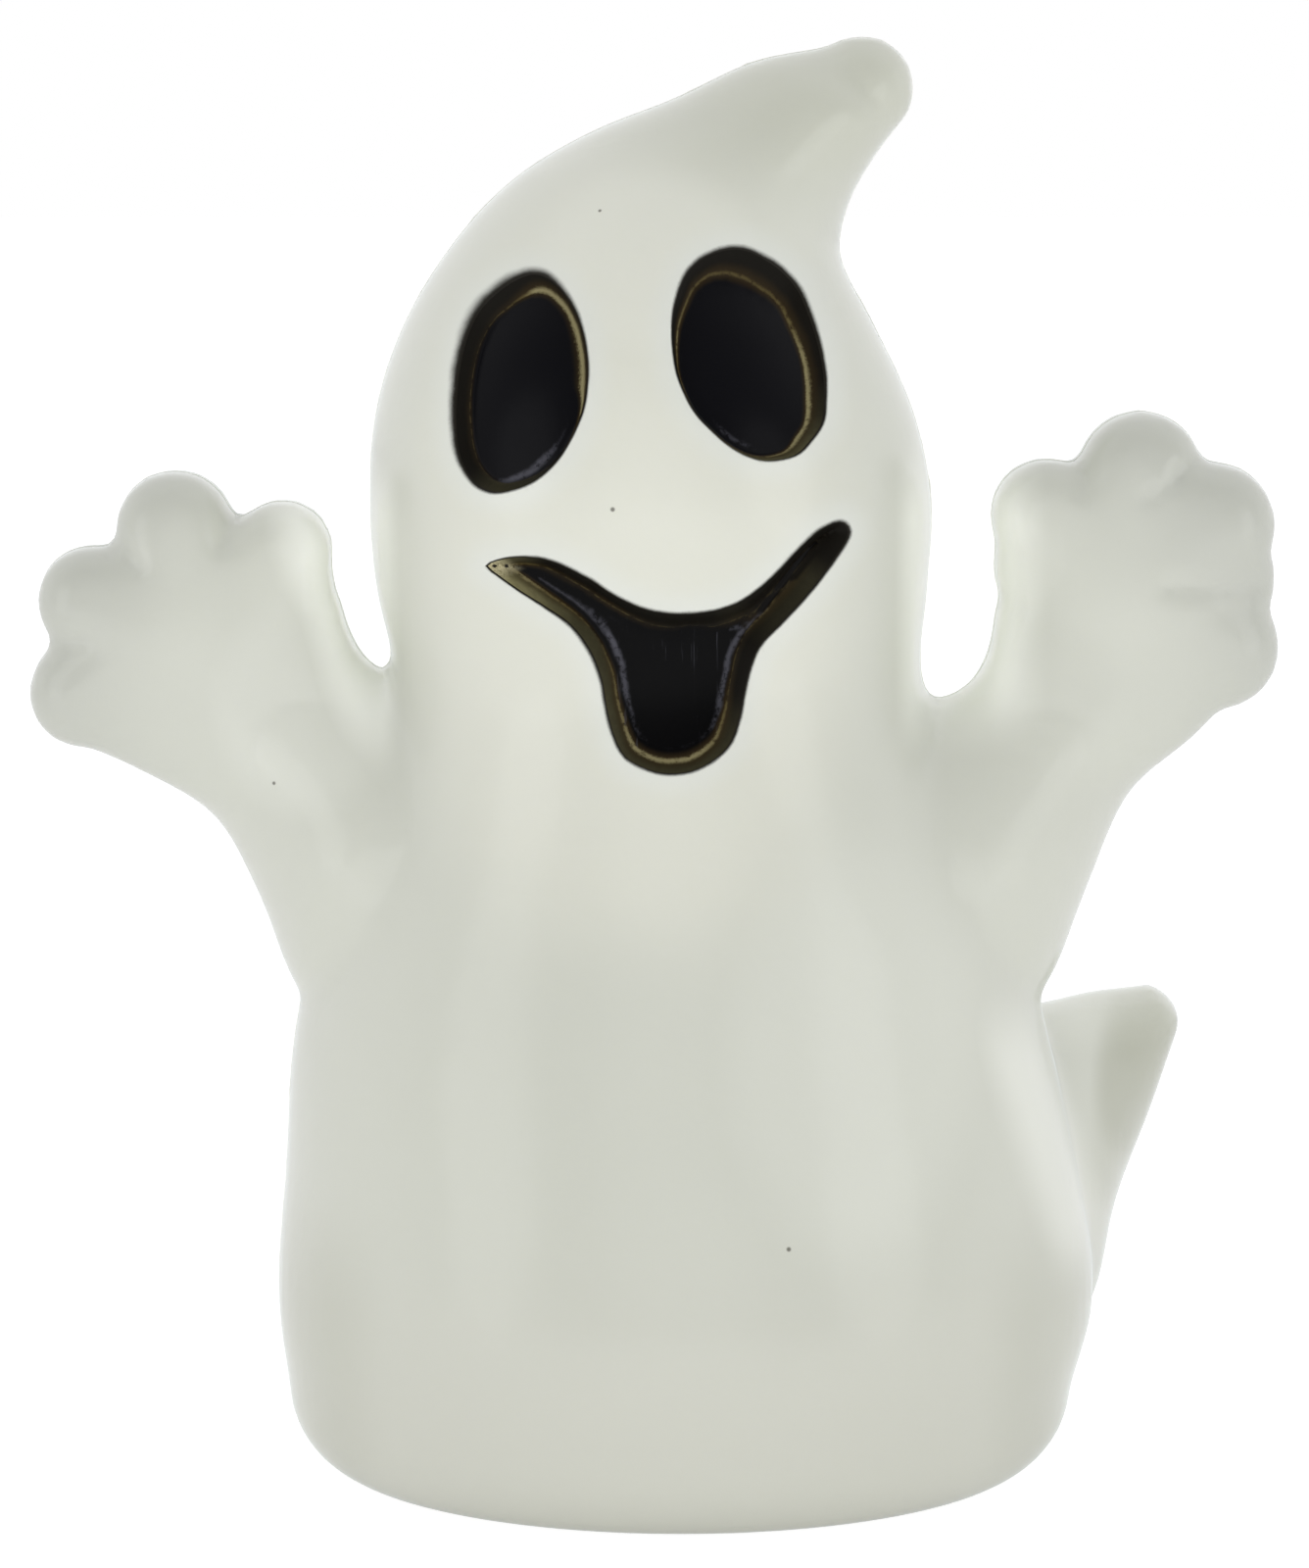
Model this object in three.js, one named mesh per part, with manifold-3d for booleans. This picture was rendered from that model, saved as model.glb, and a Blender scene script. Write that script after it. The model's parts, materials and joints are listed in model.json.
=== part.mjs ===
import * as THREE from 'three';
import { mergeVertices } from 'three/addons/utils/BufferGeometryUtils.js';
import Module from 'manifold-3d';

const wasm = await Module();
wasm.setup();

// A battery-run ghost lamp: a hollow, blow-moulded ghost on a base unit that is screwed in from below.
// Millimetres, +Z up. The ghost faces -Y and stands on the table at z = 0 while it is modelled.

// Clearances
const gap = 0.3; // between pieces that touch
const runningGap = 0.3; // round pins and sliders
const tiny = 0.01; // by which cutters run past a face

// Ghost shell
const wall = 1.8;
const footRadius = 16; // rolled edge round the foot
const recessDepth = 3.4; // eyes and mouth
const recessDraft = 1.9; // lean of the recess walls
const enamelThickness = 0.6;
const panelDepth = 4.6; // how far the underside panel sits above the table
const panelRing = 6.3; // width of the panel that stands round the shell's opening

// Main places: the neck is the narrow place between belly and head, and a hand's place is its palm's middle
const neckHeight = 145.5;
const leftHandReach = 88;
const leftHandHeight = 153.2;
const rightHandReach = 80.2;
const rightHandHeight = 159;

// Trunk sections from the foot to the tip: left and right edge in the parting plane (x, z), half depth along Y
const trunkSections = [
  { left: [-71.8, footRadius], right: [71.2, footRadius], depth: 66 },
  { left: [-73.7, 32], right: [75.2, 32], depth: 67 },
  { left: [-72.1, 56], right: [72.2, 56], depth: 63.5 },
  { left: [-70.3, 81], right: [66.4, 81], depth: 57.5 },
  { left: [-64.3, 105], right: [60.4, 105], depth: 51.5 },
  { left: [-55.2, 129], right: [49.6, 129], depth: 46 },
  { left: [-51.9, neckHeight], right: [43.2, neckHeight], depth: 44 },
  { left: [-55, neckHeight + 16], right: [44.1, neckHeight + 16], depth: 44.5 },
  { left: [-56.1, neckHeight + 32], right: [44.8, neckHeight + 32], depth: 45.5 },
  { left: [-55, neckHeight + 47.9], right: [41.5, neckHeight + 47.9], depth: 44.5 },
  { left: [-49.8, neckHeight + 63.7], right: [34.2, neckHeight + 63.7], depth: 40.5 },
  { left: [-39.9, neckHeight + 79.4], right: [28.2, neckHeight + 75.6], depth: 33.5 },
  { left: [-29.5, neckHeight + 89.9], right: [28.7, neckHeight + 82.1], depth: 28 },
  { left: [-16, neckHeight + 97.9], right: [30.8, neckHeight + 87.8], depth: 23 },
  { left: [-1.1, neckHeight + 103.8], right: [34.4, neckHeight + 93.7], depth: 18.5 },
  { left: [12.8, neckHeight + 110.1], right: [38.4, neckHeight + 99.5], depth: 14 },
  { left: [26, neckHeight + 113.5], right: [37.4, neckHeight + 97.7], depth: 10 },
];

// Arm sections from inside the trunk to inside the palm. Left and right are as seen along the arm
const leftArmSections = [
  { left: [-58, 74], right: [-38, 141], depth: 30 },
  { left: [-70.2, 89.5], right: [-52.6, 145.9], depth: 25.5 },
  { left: [-76.4, 105.3], right: [-57.3, 149], depth: 21 },
  { left: [-85.4, 121.2], right: [-60.3, 154.5], depth: 17 },
  { left: [-99.5, 130.6], right: [-62.8, 161.5], depth: 14 },
  {
    left: [-leftHandReach - 19.5, leftHandHeight - 16.2],
    right: [-leftHandReach + 11, leftHandHeight + 12.8],
    depth: 12,
  },
];
const rightArmSections = [
  { left: [31, 138], right: [50, 74], depth: 30 },
  { left: [46.6, 141.6], right: [65.6, 88.5], depth: 25.5 },
  { left: [51.4, 144.6], right: [73, 106.2], depth: 21 },
  { left: [54.4, 150.6], right: [82, 124.2], depth: 17 },
  { left: [55.6, 160], right: [94.6, 137.2], depth: 14 },
  {
    left: [rightHandReach - 14.2, rightHandHeight + 13],
    right: [rightHandReach + 15.8, rightHandHeight - 9],
    depth: 12,
  },
];

// Hands in the parting plane, with half depths along Y. Fingers run out from the palm's centre to an offset (x, z)
const leftPalm = { centre: [-leftHandReach, leftHandHeight], radius: 21.3, depth: 14.5 };
const leftFingers = [
  { offset: [16.4, 15], radius: 9.2, depth: 9.5 },
  { offset: [-3.6, 18.3], radius: 11, depth: 10.5 },
  { offset: [-18.2, 6.4], radius: 9.8, depth: 10 },
  { offset: [-19.8, -9.4], radius: 9.4, depth: 9.5 },
];
const rightPalm = { centre: [rightHandReach, rightHandHeight], radius: 22, depth: 14.5 };
const rightFingers = [
  { offset: [-14.6, 15.3], radius: 9.8, depth: 10 },
  { offset: [2.1, 22.7], radius: 11.2, depth: 10.5 },
  { offset: [15, 13.3], radius: 11.2, depth: 10.5 },
  { offset: [16, -6.7], radius: 11.2, depth: 10 },
];

// Tail at the back right: left and right edge (x, z), half depth and place along Y
const tailSections = [
  { left: [38, 72], right: [62, 14], depth: 17, y: 30 },
  { left: [55, 76.6], right: [75.4, 20], depth: 15, y: 35 },
  { left: [68, 78.7], right: [81.6, 34.5], depth: 12, y: 39.5 },
  { left: [76.7, 79.8], right: [88.2, 57.1], depth: 8.5, y: 42.5 },
  { left: [82.6, 79.6], right: [91.6, 69.5], depth: 5.5, y: 44 },
];

// Eyes are eggs: centre (x, z), half width, half height, lean from upright in degrees
const leftEye = { centre: [-28.8, neckHeight + 55.2], halfWidth: 11.7, halfHeight: 19.5, lean: 12 };
const rightEye = { centre: [11.6, neckHeight + 60.1], halfWidth: 12.7, halfHeight: 18.9, lean: -21 };

// The mouth's rim (x, height above the neck), from its left tip along the upper lip and back along the lower lip
const mouthRim = [
  [-34.3, 23.7], [-30, 25.1], [-25.8, 25.3], [-21, 24.2], [-15, 21.1], [-8, 17.3], [-0.5, 15.7],
  [7, 16.5], [13, 19.6], [19.5, 25.9], [24.2, 29.7], [28.2, 31.1], [28.9, 28.1], [25.8, 23.3],
  [20.5, 16.9], [14.4, 11.3], [11.7, 6.1], [10.2, -1.1], [7.5, -7.9], [2, -11.3], [-4.5, -11.5],
  [-10.3, -8.6], [-13.1, -1.9], [-15, 6.5], [-18.8, 13.1], [-25, 17.4], [-31, 20.9],
];

// Base plate
const plateThickness = 2.4;
const hubHeight = 1.7; // of the hub that fills the shell's opening, above the flange
const flangeClearance = 0.3; // flange edge to the recess round it
const hubClearance = 0.6; // hub to the shell's opening
const hubMargin = 0.55; // hub past the room for the door's tab
const shellBossRadius = 3.1;
const shellBossHeight = 5;

// Battery cells, size AAA
const cellRadius = 5.25;
const cellLength = 44.5;
const cellNubRadius = 1.9;
const cellNubLength = 1;
const cellSpacing = 11.1;
const cellPlay = 0.65; // outermost cells to the compartment's walls
const boxWall = 1.6;
const contactThickness = 0.4;
const springLength = 3.7;
const springWire = 0.5;
const springTurns = 3.5;

// Battery door, hinged at its left end
const doorThickness = 1.7;
const doorLedge = 1.75; // by which the door laps past the compartment
const doorChamfer = 1;
const ribHeight = 0.45;
const ribWidth = 1.4;
const ribPlace = 14;
const knuckleRadius = 2;
const knuckleLength = 16;
const hingeOffset = 2.6; // hinge axis to the door's edge
const hingeHeight = 4.2; // hinge axis above the table
const pinRadius = 1;
const pinLength = 2.4;
const housingWall = 1.5;
const tabOffset = 4.2; // tab centre past the door's right edge
const tabRadius = 4.4;
const tabDepth = 3;

// Screws
const screwShank = 0.9;
const screwPilot = 1.2;
const screwHead = 2.3;
const screwHeadHeight = 1.4;
const screwSlotWidth = 0.6;
const screwSlotDepth = 0.7;
const baseScrewShank = 1.2;
const baseScrewHead = 2.8;
const baseScrewLength = 7.4;
const doorScrewShank = 1.1;
const doorScrewHead = 2.9;
const doorScrewBite = 3;
const doorScrewPlay = 0.5; // wide enough for the door's swing

// Slide switch
const switchInset = 6.6; // hub's edge to the switch's middle
const switchLength = 17;
const switchWidth = 8;
const switchHeight = 5.4;
const switchWall = 1.4;
const earLength = 5;
const earThickness = 1.2;
const sliderTravel = 4;
const sliderLength = 8;
const sliderHeight = 2;
const thumbLength = 3.2;
const thumbWidth = 2.4;
const wellDepth = 1.2;
const wellLength = 14;
const wellWidth = 7;
const terminalSpacing = 4;
const terminalHeight = 2;

// Lamp board, light dome and wires
const boardRadius = 15.5;
const boardThickness = 1.6;
const boardPostHeight = 3.2;
const boardPostRadius = 2.2;
const boardPostPlace = 11.5;
const ledRadius = 2.5;
const ledCircle = 7;
const ledHeight = 8.6;
const domeRadius = 18;
const domeWall = 1.4;
const domeSkirt = 10;
const domeHeight = 30;
const domeEarPlace = 21.6;
const domeEarWidth = 5.2;
const domeEarThickness = 1.6;
const domeBossRadius = 2.6;
const domeBossHeight = 4;
const wireRadius = 0.7;
const notchWidth = 2.6;

// Facets of the outer skin and of the plainer hollow
const skinFacets = { trunkSides: 36, trunkSteps: 20, limbSides: 14, limbSteps: 6, handSides: 12 };
const hollowFacets = { trunkSides: 18, trunkSteps: 10, limbSides: 8, limbSteps: 3, handSides: 6 };
const endTurns = [25, 50, 72]; // rings of a round end, in degrees
const eyePoints = 24;
const mouthPoints = 44;
const narrowShare = 0.22; // of a narrow place's width, by which each side of an outline may move in

const { Vector2, Vector3 } = THREE;

// Solids

function solid(geometry) {
  geometry.deleteAttribute('normal');
  geometry.deleteAttribute('uv');
  const merged = mergeVertices(geometry, 1e-4);
  const vertProperties = new Float32Array(merged.attributes.position.array);
  const triVerts = new Uint32Array(merged.index.array);
  if (enclosedVolume(vertProperties, triVerts) < 0) {
    for (let i = 0; i < triVerts.length; i += 3) {
      [triVerts[i], triVerts[i + 1]] = [triVerts[i + 1], triVerts[i]];
    }
  }
  return new wasm.Manifold(new wasm.Mesh({ numProp: 3, vertProperties, triVerts }));
}

function enclosedVolume(points, triangles) {
  const [a, b, c] = [new Vector3(), new Vector3(), new Vector3()];
  let total = 0;
  for (let i = 0; i < triangles.length; i += 3) {
    a.fromArray(points, 3 * triangles[i]);
    b.fromArray(points, 3 * triangles[i + 1]);
    c.fromArray(points, 3 * triangles[i + 2]);
    total += a.dot(b.cross(c)) / 6;
  }
  return total;
}

function join(...solids) {
  return solids.reduce((whole, next) => whole.add(next));
}

function cut(whole, ...cutters) {
  return cutters.reduce((rest, cutter) => rest.subtract(cutter), whole);
}

function block([x0, x1], [y0, y1], [z0, z1]) {
  const geometry = new THREE.BoxGeometry(x1 - x0, y1 - y0, z1 - z0);
  geometry.translate((x0 + x1) / 2, (y0 + y1) / 2, (z0 + z1) / 2);
  return solid(geometry);
}

function spread(centre, half) {
  return [centre - half, centre + half];
}

// An upright round post
function post(radius, [z0, z1], [x, y] = [0, 0], sides = 20) {
  const geometry = new THREE.CylinderGeometry(radius, radius, z1 - z0, sides);
  geometry.rotateX(Math.PI / 2);
  geometry.translate(x, y, (z0 + z1) / 2);
  return solid(geometry);
}

// A round bar along X
function barX(radius, [x0, x1], [y, z], sides = 20) {
  const geometry = new THREE.CylinderGeometry(radius, radius, x1 - x0, sides);
  geometry.rotateZ(Math.PI / 2);
  geometry.translate((x0 + x1) / 2, y, z);
  return solid(geometry);
}

// A round bar along Y
function barY(radius, [y0, y1], [x, z], sides = 20) {
  const geometry = new THREE.CylinderGeometry(radius, radius, y1 - y0, sides);
  geometry.translate(x, (y0 + y1) / 2, z);
  return solid(geometry);
}

// A profile of (radius, z) points turned round an upright axis
function turned(profile, [x, y] = [0, 0], sides = 20) {
  const geometry = new THREE.LatheGeometry(profile.map(([r, z]) => new Vector2(r, z)), sides);
  geometry.rotateX(Math.PI / 2);
  geometry.translate(x, y, 0);
  return solid(geometry);
}

// Rings of points joined into one closed skin. The ends are fans, or meet in a point
function skin(rings, tip = null) {
  const sides = rings[0].length;
  const points = rings.flat();
  const faces = [];
  for (let ring = 0; ring + 1 < rings.length; ring += 1) {
    for (let side = 0; side < sides; side += 1) {
      const next = (side + 1) % sides;
      const a = ring * sides + side;
      const b = ring * sides + next;
      faces.push(a, b, b + sides, a, b + sides, a + sides);
    }
  }
  const centre = (ring) => ring.reduce((sum, p) => sum.add(p), new Vector3()).divideScalar(sides);
  const last = (rings.length - 1) * sides;
  points.push(centre(rings[0]), tip ?? centre(rings.at(-1)));
  for (let side = 0; side < sides; side += 1) {
    const next = (side + 1) % sides;
    faces.push(points.length - 2, next, side);
    faces.push(points.length - 1, last + side, last + next);
  }
  const geometry = new THREE.BufferGeometry().setFromPoints(points);
  geometry.setIndex(faces);
  return solid(geometry);
}

// Lofted forms: oval sections whose two edges run along curves in the parting plane

function railsOf(sections) {
  const curve = (pick) => new THREE.CatmullRomCurve3(sections.map(pick), false, 'centripetal');
  const left = curve((s) => new Vector3(s.left[0], 0, s.left[1]));
  const right = curve((s) => new Vector3(s.right[0], 0, s.right[1]));
  const width = curve((s, i) => new Vector3(10 * i, s.depth, s.y ?? 0));
  return (t, inset) => sectionBetween(left.getPoint(t), right.getPoint(t), width.getPoint(t), inset);
}

function sectionBetween(left, right, { y: depth, z: y }, inset) {
  const across = right.clone().sub(left);
  const half = across.length() / 2 - inset;
  const middle = left.clone().add(right).divideScalar(2).setY(y);
  return { middle, across: across.normalize(), half, depth: depth - inset };
}

function pointOn({ middle, across, half, depth }, cosine, sine) {
  const point = middle.clone().addScaledVector(across, half * cosine);
  point.y += depth * sine;
  return point;
}

function ringOf(section, sides) {
  return Array.from({ length: sides }, (_, k) => {
    const angle = (2 * Math.PI * k) / sides;
    return pointOn(section, Math.cos(angle), Math.sin(angle));
  });
}

// Rings that close a form with a round end
function roundEnd(section, sides) {
  const outward = new Vector3(-section.across.z, 0, section.across.x);
  const along = (turn) => section.middle.clone().addScaledVector(outward, section.half * Math.sin(turn));
  const rings = endTurns.map((degrees) => {
    const turn = THREE.MathUtils.degToRad(degrees);
    const shrink = Math.cos(turn);
    const smaller = { half: section.half * shrink, depth: section.depth * shrink };
    return ringOf({ ...section, ...smaller, middle: along(turn) }, sides);
  });
  return { rings, tip: along(Math.PI / 2) };
}

function loft(sections, inset, steps, sides) {
  const rails = railsOf(sections);
  const rings = Array.from({ length: steps + 1 }, (_, k) => ringOf(rails(k / steps, inset), sides));
  const end = roundEnd(rails(1, inset), sides);
  return skin([...rings, ...end.rings], end.tip);
}

const trunkRails = railsOf(trunkSections);

// The trunk with its rolled foot and round tip, drawn in by the inset on every side
function trunk(inset, { trunkSides: sides, trunkSteps } = skinFacets) {
  const rings = [];
  const foot = trunkRails(0, 0);
  for (let turn = 0; turn < 90; turn += 22.5) {
    const angle = THREE.MathUtils.degToRad(turn);
    const reach = footRadius - (footRadius - inset) * Math.sin(angle);
    const middle = foot.middle.clone().setZ(footRadius - (footRadius - inset) * Math.cos(angle));
    rings.push(ringOf({ ...foot, middle, half: foot.half - reach, depth: foot.depth - reach }, sides));
  }
  for (let step = 0; step <= trunkSteps; step += 1) {
    rings.push(ringOf(trunkRails(step / trunkSteps, inset), sides));
  }
  const end = roundEnd(trunkRails(1, inset), sides);
  return skin([...rings, ...end.rings], end.tip);
}

// The trunk's front skin seen along Y at (x, z)
function frontPoint(x, z) {
  let [low, high] = [0, 1];
  for (let i = 0; i < 36; i += 1) {
    const t = (low + high) / 2;
    const { middle, across } = trunkRails(t, 0);
    const above = across.x * (z - middle.z) - across.z * (x - middle.x) > 0;
    [low, high] = above ? [t, high] : [low, t];
  }
  const section = trunkRails(low, 0);
  const cosine = ((x - section.middle.x) * section.across.x + (z - section.middle.z) * section.across.z)
    / section.half;
  return pointOn(section, cosine, -Math.sqrt(Math.max(0, 1 - cosine * cosine)));
}

function inwardNormal(x, z) {
  const step = 0.5;
  const slopeX = (frontPoint(x + step, z).y - frontPoint(x - step, z).y) / (2 * step);
  const slopeZ = (frontPoint(x, z + step).y - frontPoint(x, z - step).y) / (2 * step);
  return new Vector3(-slopeX, 1, -slopeZ).normalize();
}

// Outlines in the front view

function eggOutline({ centre, halfWidth, halfHeight, lean }, points = eyePoints) {
  const angle = THREE.MathUtils.degToRad(lean);
  const turn = new Vector2(0, 0);
  return Array.from({ length: points }, (_, k) => {
    const around = (2 * Math.PI * k) / points;
    const spot = new Vector2(halfWidth * Math.cos(around), halfHeight * Math.sin(around));
    return spot.rotateAround(turn, -angle).add(new Vector2(...centre));
  });
}

function rimOutline(rim, points = mouthPoints) {
  const corners = rim.map(([x, height]) => new Vector3(x, 0, neckHeight + height));
  const curve = new THREE.CatmullRomCurve3(corners, true, 'centripetal');
  const outline = Array.from({ length: points }, (_, k) => curve.getPoint(k / points));
  return outline.map(({ x, z }) => new Vector2(x, z)).reverse();
}

// An anticlockwise outline moved outwards, or inwards by no more than its narrow places allow
function moved(outline, distance) {
  const count = outline.length;
  return outline.map((point, i) => {
    const before = outline[(i + count - 1) % count];
    const after = outline[(i + 1) % count];
    const outward = new Vector2(after.y - before.y, before.x - after.x).normalize();
    const room = outline.reduce((least, other, j) => {
      const apart = Math.min(Math.abs(i - j), count - Math.abs(i - j));
      return apart > 1 ? Math.min(least, other.distanceTo(point)) : least;
    }, Infinity);
    return point.clone().addScaledVector(outward, Math.max(distance, -narrowShare * room));
  });
}

// A plug whose sides lean in from an outline on the skin to a smaller one at the recess's floor
function recessPlug(outline, grow) {
  const rim = moved(outline, grow);
  const floor = moved(moved(outline, -recessDraft), grow);
  const rings = [[], []];
  rim.forEach((edge, i) => {
    const top = frontPoint(edge.x, edge.y);
    const bottom = frontPoint(floor[i].x, floor[i].y);
    bottom.addScaledVector(inwardNormal(floor[i].x, floor[i].y), recessDepth);
    const side = bottom.clone().sub(top);
    rings[0].push(top.addScaledVector(side, -1));
    rings[1].push(bottom.addScaledVector(side, 1));
  });
  const count = outline.length;
  const faces = [];
  for (let i = 0; i < count; i += 1) {
    const next = (i + 1) % count;
    faces.push(i, next, next + count, i, next + count, i + count);
  }
  THREE.ShapeUtils.triangulateShape(rim, []).forEach(([a, b, c]) => faces.push(a, c, b));
  THREE.ShapeUtils.triangulateShape(floor, []).forEach((face) => faces.push(...face.map((i) => i + count)));
  const geometry = new THREE.BufferGeometry().setFromPoints(rings.flat());
  geometry.setIndex(faces);
  return solid(geometry);
}

const faceOutlines = {
  left_eye: eggOutline(leftEye),
  right_eye: eggOutline(rightEye),
  mouth: rimOutline(mouthRim),
};

// Heights in the base, from the table up
const panelUnderside = panelDepth;
const panelTop = panelDepth + wall;
const plateTop = panelUnderside - gap;
const plateUnderside = plateTop - plateThickness;
const hubTop = plateTop + hubHeight;
const screwAngles = [45, 135, 225, 315];
const doorTop = plateUnderside + doorThickness;
const cellUnderside = doorTop + ribHeight + gap;
const cellAxis = cellUnderside + cellRadius;
const roofUnderside = cellAxis + cellRadius + gap;
const roofTop = roofUnderside + boxWall;
const boardUnderside = roofTop + boardPostHeight + gap;
const boardTop = boardUnderside + boardThickness;

// Battery compartment
const boxHalfWidth = cellSpacing + cellRadius + cellPlay;
const contactRoom = contactThickness + 2 * gap;
const boxHalfLength = (cellLength + springLength + 2 * gap) / 2 + contactRoom;
const contactFace = boxHalfLength - contactRoom + gap; // face towards the cells
const cells = [
  { y: -cellSpacing, nub: 1 },
  { y: 0, nub: -1 },
  { y: cellSpacing, nub: 1 },
];
const nubEnd = contactFace - gap;
const springEnd = nubEnd - cellLength;

// Door and hinge
const doorHalfLength = boxHalfLength + doorLedge;
const doorHalfWidth = boxHalfWidth + doorLedge;
const hingeAxis = [-doorHalfLength - hingeOffset, hingeHeight];
const tabCentre = doorHalfLength + tabOffset;
const tabTop = plateUnderside + tabDepth;
const cupFloor = tabTop - 1.2;

// The hub goes round the door's room, and the shell's opening and panel go round the hub
const hubRadius = tabCentre + tabRadius + gap + hubMargin;
const panelOpeningRadius = hubRadius + hubClearance;
const panelRadius = panelOpeningRadius + panelRing;
const flangeRadius = panelRadius - flangeClearance;
const baseScrewCircle = (panelOpeningRadius + flangeRadius) / 2;

// Ghost shell

function ghostForm(inset, facets) {
  const { limbSides, limbSteps, handSides } = facets;
  const limbs = [leftArmSections, rightArmSections, tailSections];
  return join(
    trunk(inset, facets),
    ...limbs.map((sections) => loft(sections, inset, limbSteps, limbSides)),
    ...hand(leftPalm, leftFingers, inset, handSides),
    ...hand(rightPalm, rightFingers, inset, handSides),
  );
}

function hand(palm, fingers, inset, sides) {
  const [x, z] = palm.centre;
  const ball = new THREE.SphereGeometry(1, sides + 4, sides / 2 + 2);
  ball.scale(palm.radius - inset, palm.depth - inset, palm.radius - inset);
  ball.translate(x, 0, z);
  return [solid(ball), ...fingers.map((finger) => loft(fingerSections(palm, finger), inset, 2, sides))];
}

// A finger swells a little from the palm's middle to its round end
function fingerSections(palm, { offset, radius, depth }) {
  const root = new Vector2(...palm.centre);
  const end = root.clone().add(new Vector2(...offset));
  const aside = end.clone().sub(root).normalize().rotateAround(new Vector2(0, 0), Math.PI / 2);
  const section = (spot, half, halfDepth) => ({
    left: spot.clone().addScaledVector(aside, half).toArray(),
    right: spot.clone().addScaledVector(aside, -half).toArray(),
    depth: halfDepth,
  });
  return [section(root, 0.8 * radius, depth), section(end, radius, depth)];
}

function shellScrewBoss([x, y]) {
  return post(shellBossRadius, [panelUnderside + wall / 2, panelTop + shellBossHeight], [x, y], 16);
}

function onCircle(radius, degrees) {
  const angle = THREE.MathUtils.degToRad(degrees);
  return [radius * Math.cos(angle), radius * Math.sin(angle)];
}

function ghostShell() {
  const plugs = Object.values(faceOutlines);
  const recesses = plugs.map((outline) => cut(recessPlug(outline, 0), trunk(recessDepth)));
  const linings = plugs.map((outline) => cut(recessPlug(outline, wall), trunk(recessDepth + wall, hollowFacets)));
  const hollow = cut(ghostForm(wall, hollowFacets), ...linings, post(panelRadius + wall, [0, panelTop], [0, 0], 48));
  const bosses = screwAngles.map((angle) => shellScrewBoss(onCircle(baseScrewCircle, angle)));
  const pilots = screwAngles.map((angle) => post(
    baseScrewShank + gap,
    [0, panelTop + shellBossHeight - wall],
    onCircle(baseScrewCircle, angle),
    12,
  ));
  const shell = join(cut(ghostForm(0, skinFacets), ...recesses, hollow), ...bosses);
  return cut(
    shell,
    post(panelRadius, [-1, panelUnderside], [0, 0], 48),
    post(panelOpeningRadius, [-1, panelTop + shellBossHeight + 1], [0, 0], 48),
    ...pilots,
  );
}

// A thin coat of enamel on a recess's floor
function enamel(outline) {
  const underside = recessDepth - gap;
  const coat = recessPlug(outline, -gap).intersect(trunk(underside - enamelThickness));
  return cut(coat, trunk(underside));
}

// Screws point upwards, with their heads below, unless turned over
function screw({ shank, head, headHeight, length, bearing, place, up = true, turn = 0 }) {
  const way = up ? 1 : -1;
  const z = (distance) => bearing + way * distance;
  const shape = turned([
    [0, z(-headHeight)], [0.75 * head, z(-headHeight)], [head, z(-0.5 * headHeight)], [head, z(0)],
    [shank, z(0)], [shank, z(length - shank)], [0.3 * shank, z(length)], [0, z(length)],
  ], place, 10);
  const [x, y] = place;
  const bottom = [z(-headHeight - 1), z(screwSlotDepth - headHeight)].sort((a, b) => a - b);
  const bar = (angle) => {
    const half = 0.62 * head;
    const geometry = new THREE.BoxGeometry(2 * half, screwSlotWidth, bottom[1] - bottom[0]);
    geometry.rotateZ(THREE.MathUtils.degToRad(angle + turn));
    geometry.translate(x, y, (bottom[0] + bottom[1]) / 2);
    return solid(geometry);
  };
  return cut(shape, bar(0), bar(90));
}

function baseScrewPlace(i) {
  return onCircle(baseScrewCircle, screwAngles[i]);
}

const switchPlace = hubRadius - switchInset; // along Y
const earScrewPlace = switchLength / 2 + earLength / 2;
const earUnderside = hubTop + gap;
const switchTop = earUnderside + switchHeight;
const domeBossTop = roofTop + domeBossHeight;
const skirtUnderside = roofTop + gap;
const wireHeight = skirtUnderside + notchWidth / 2;

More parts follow.
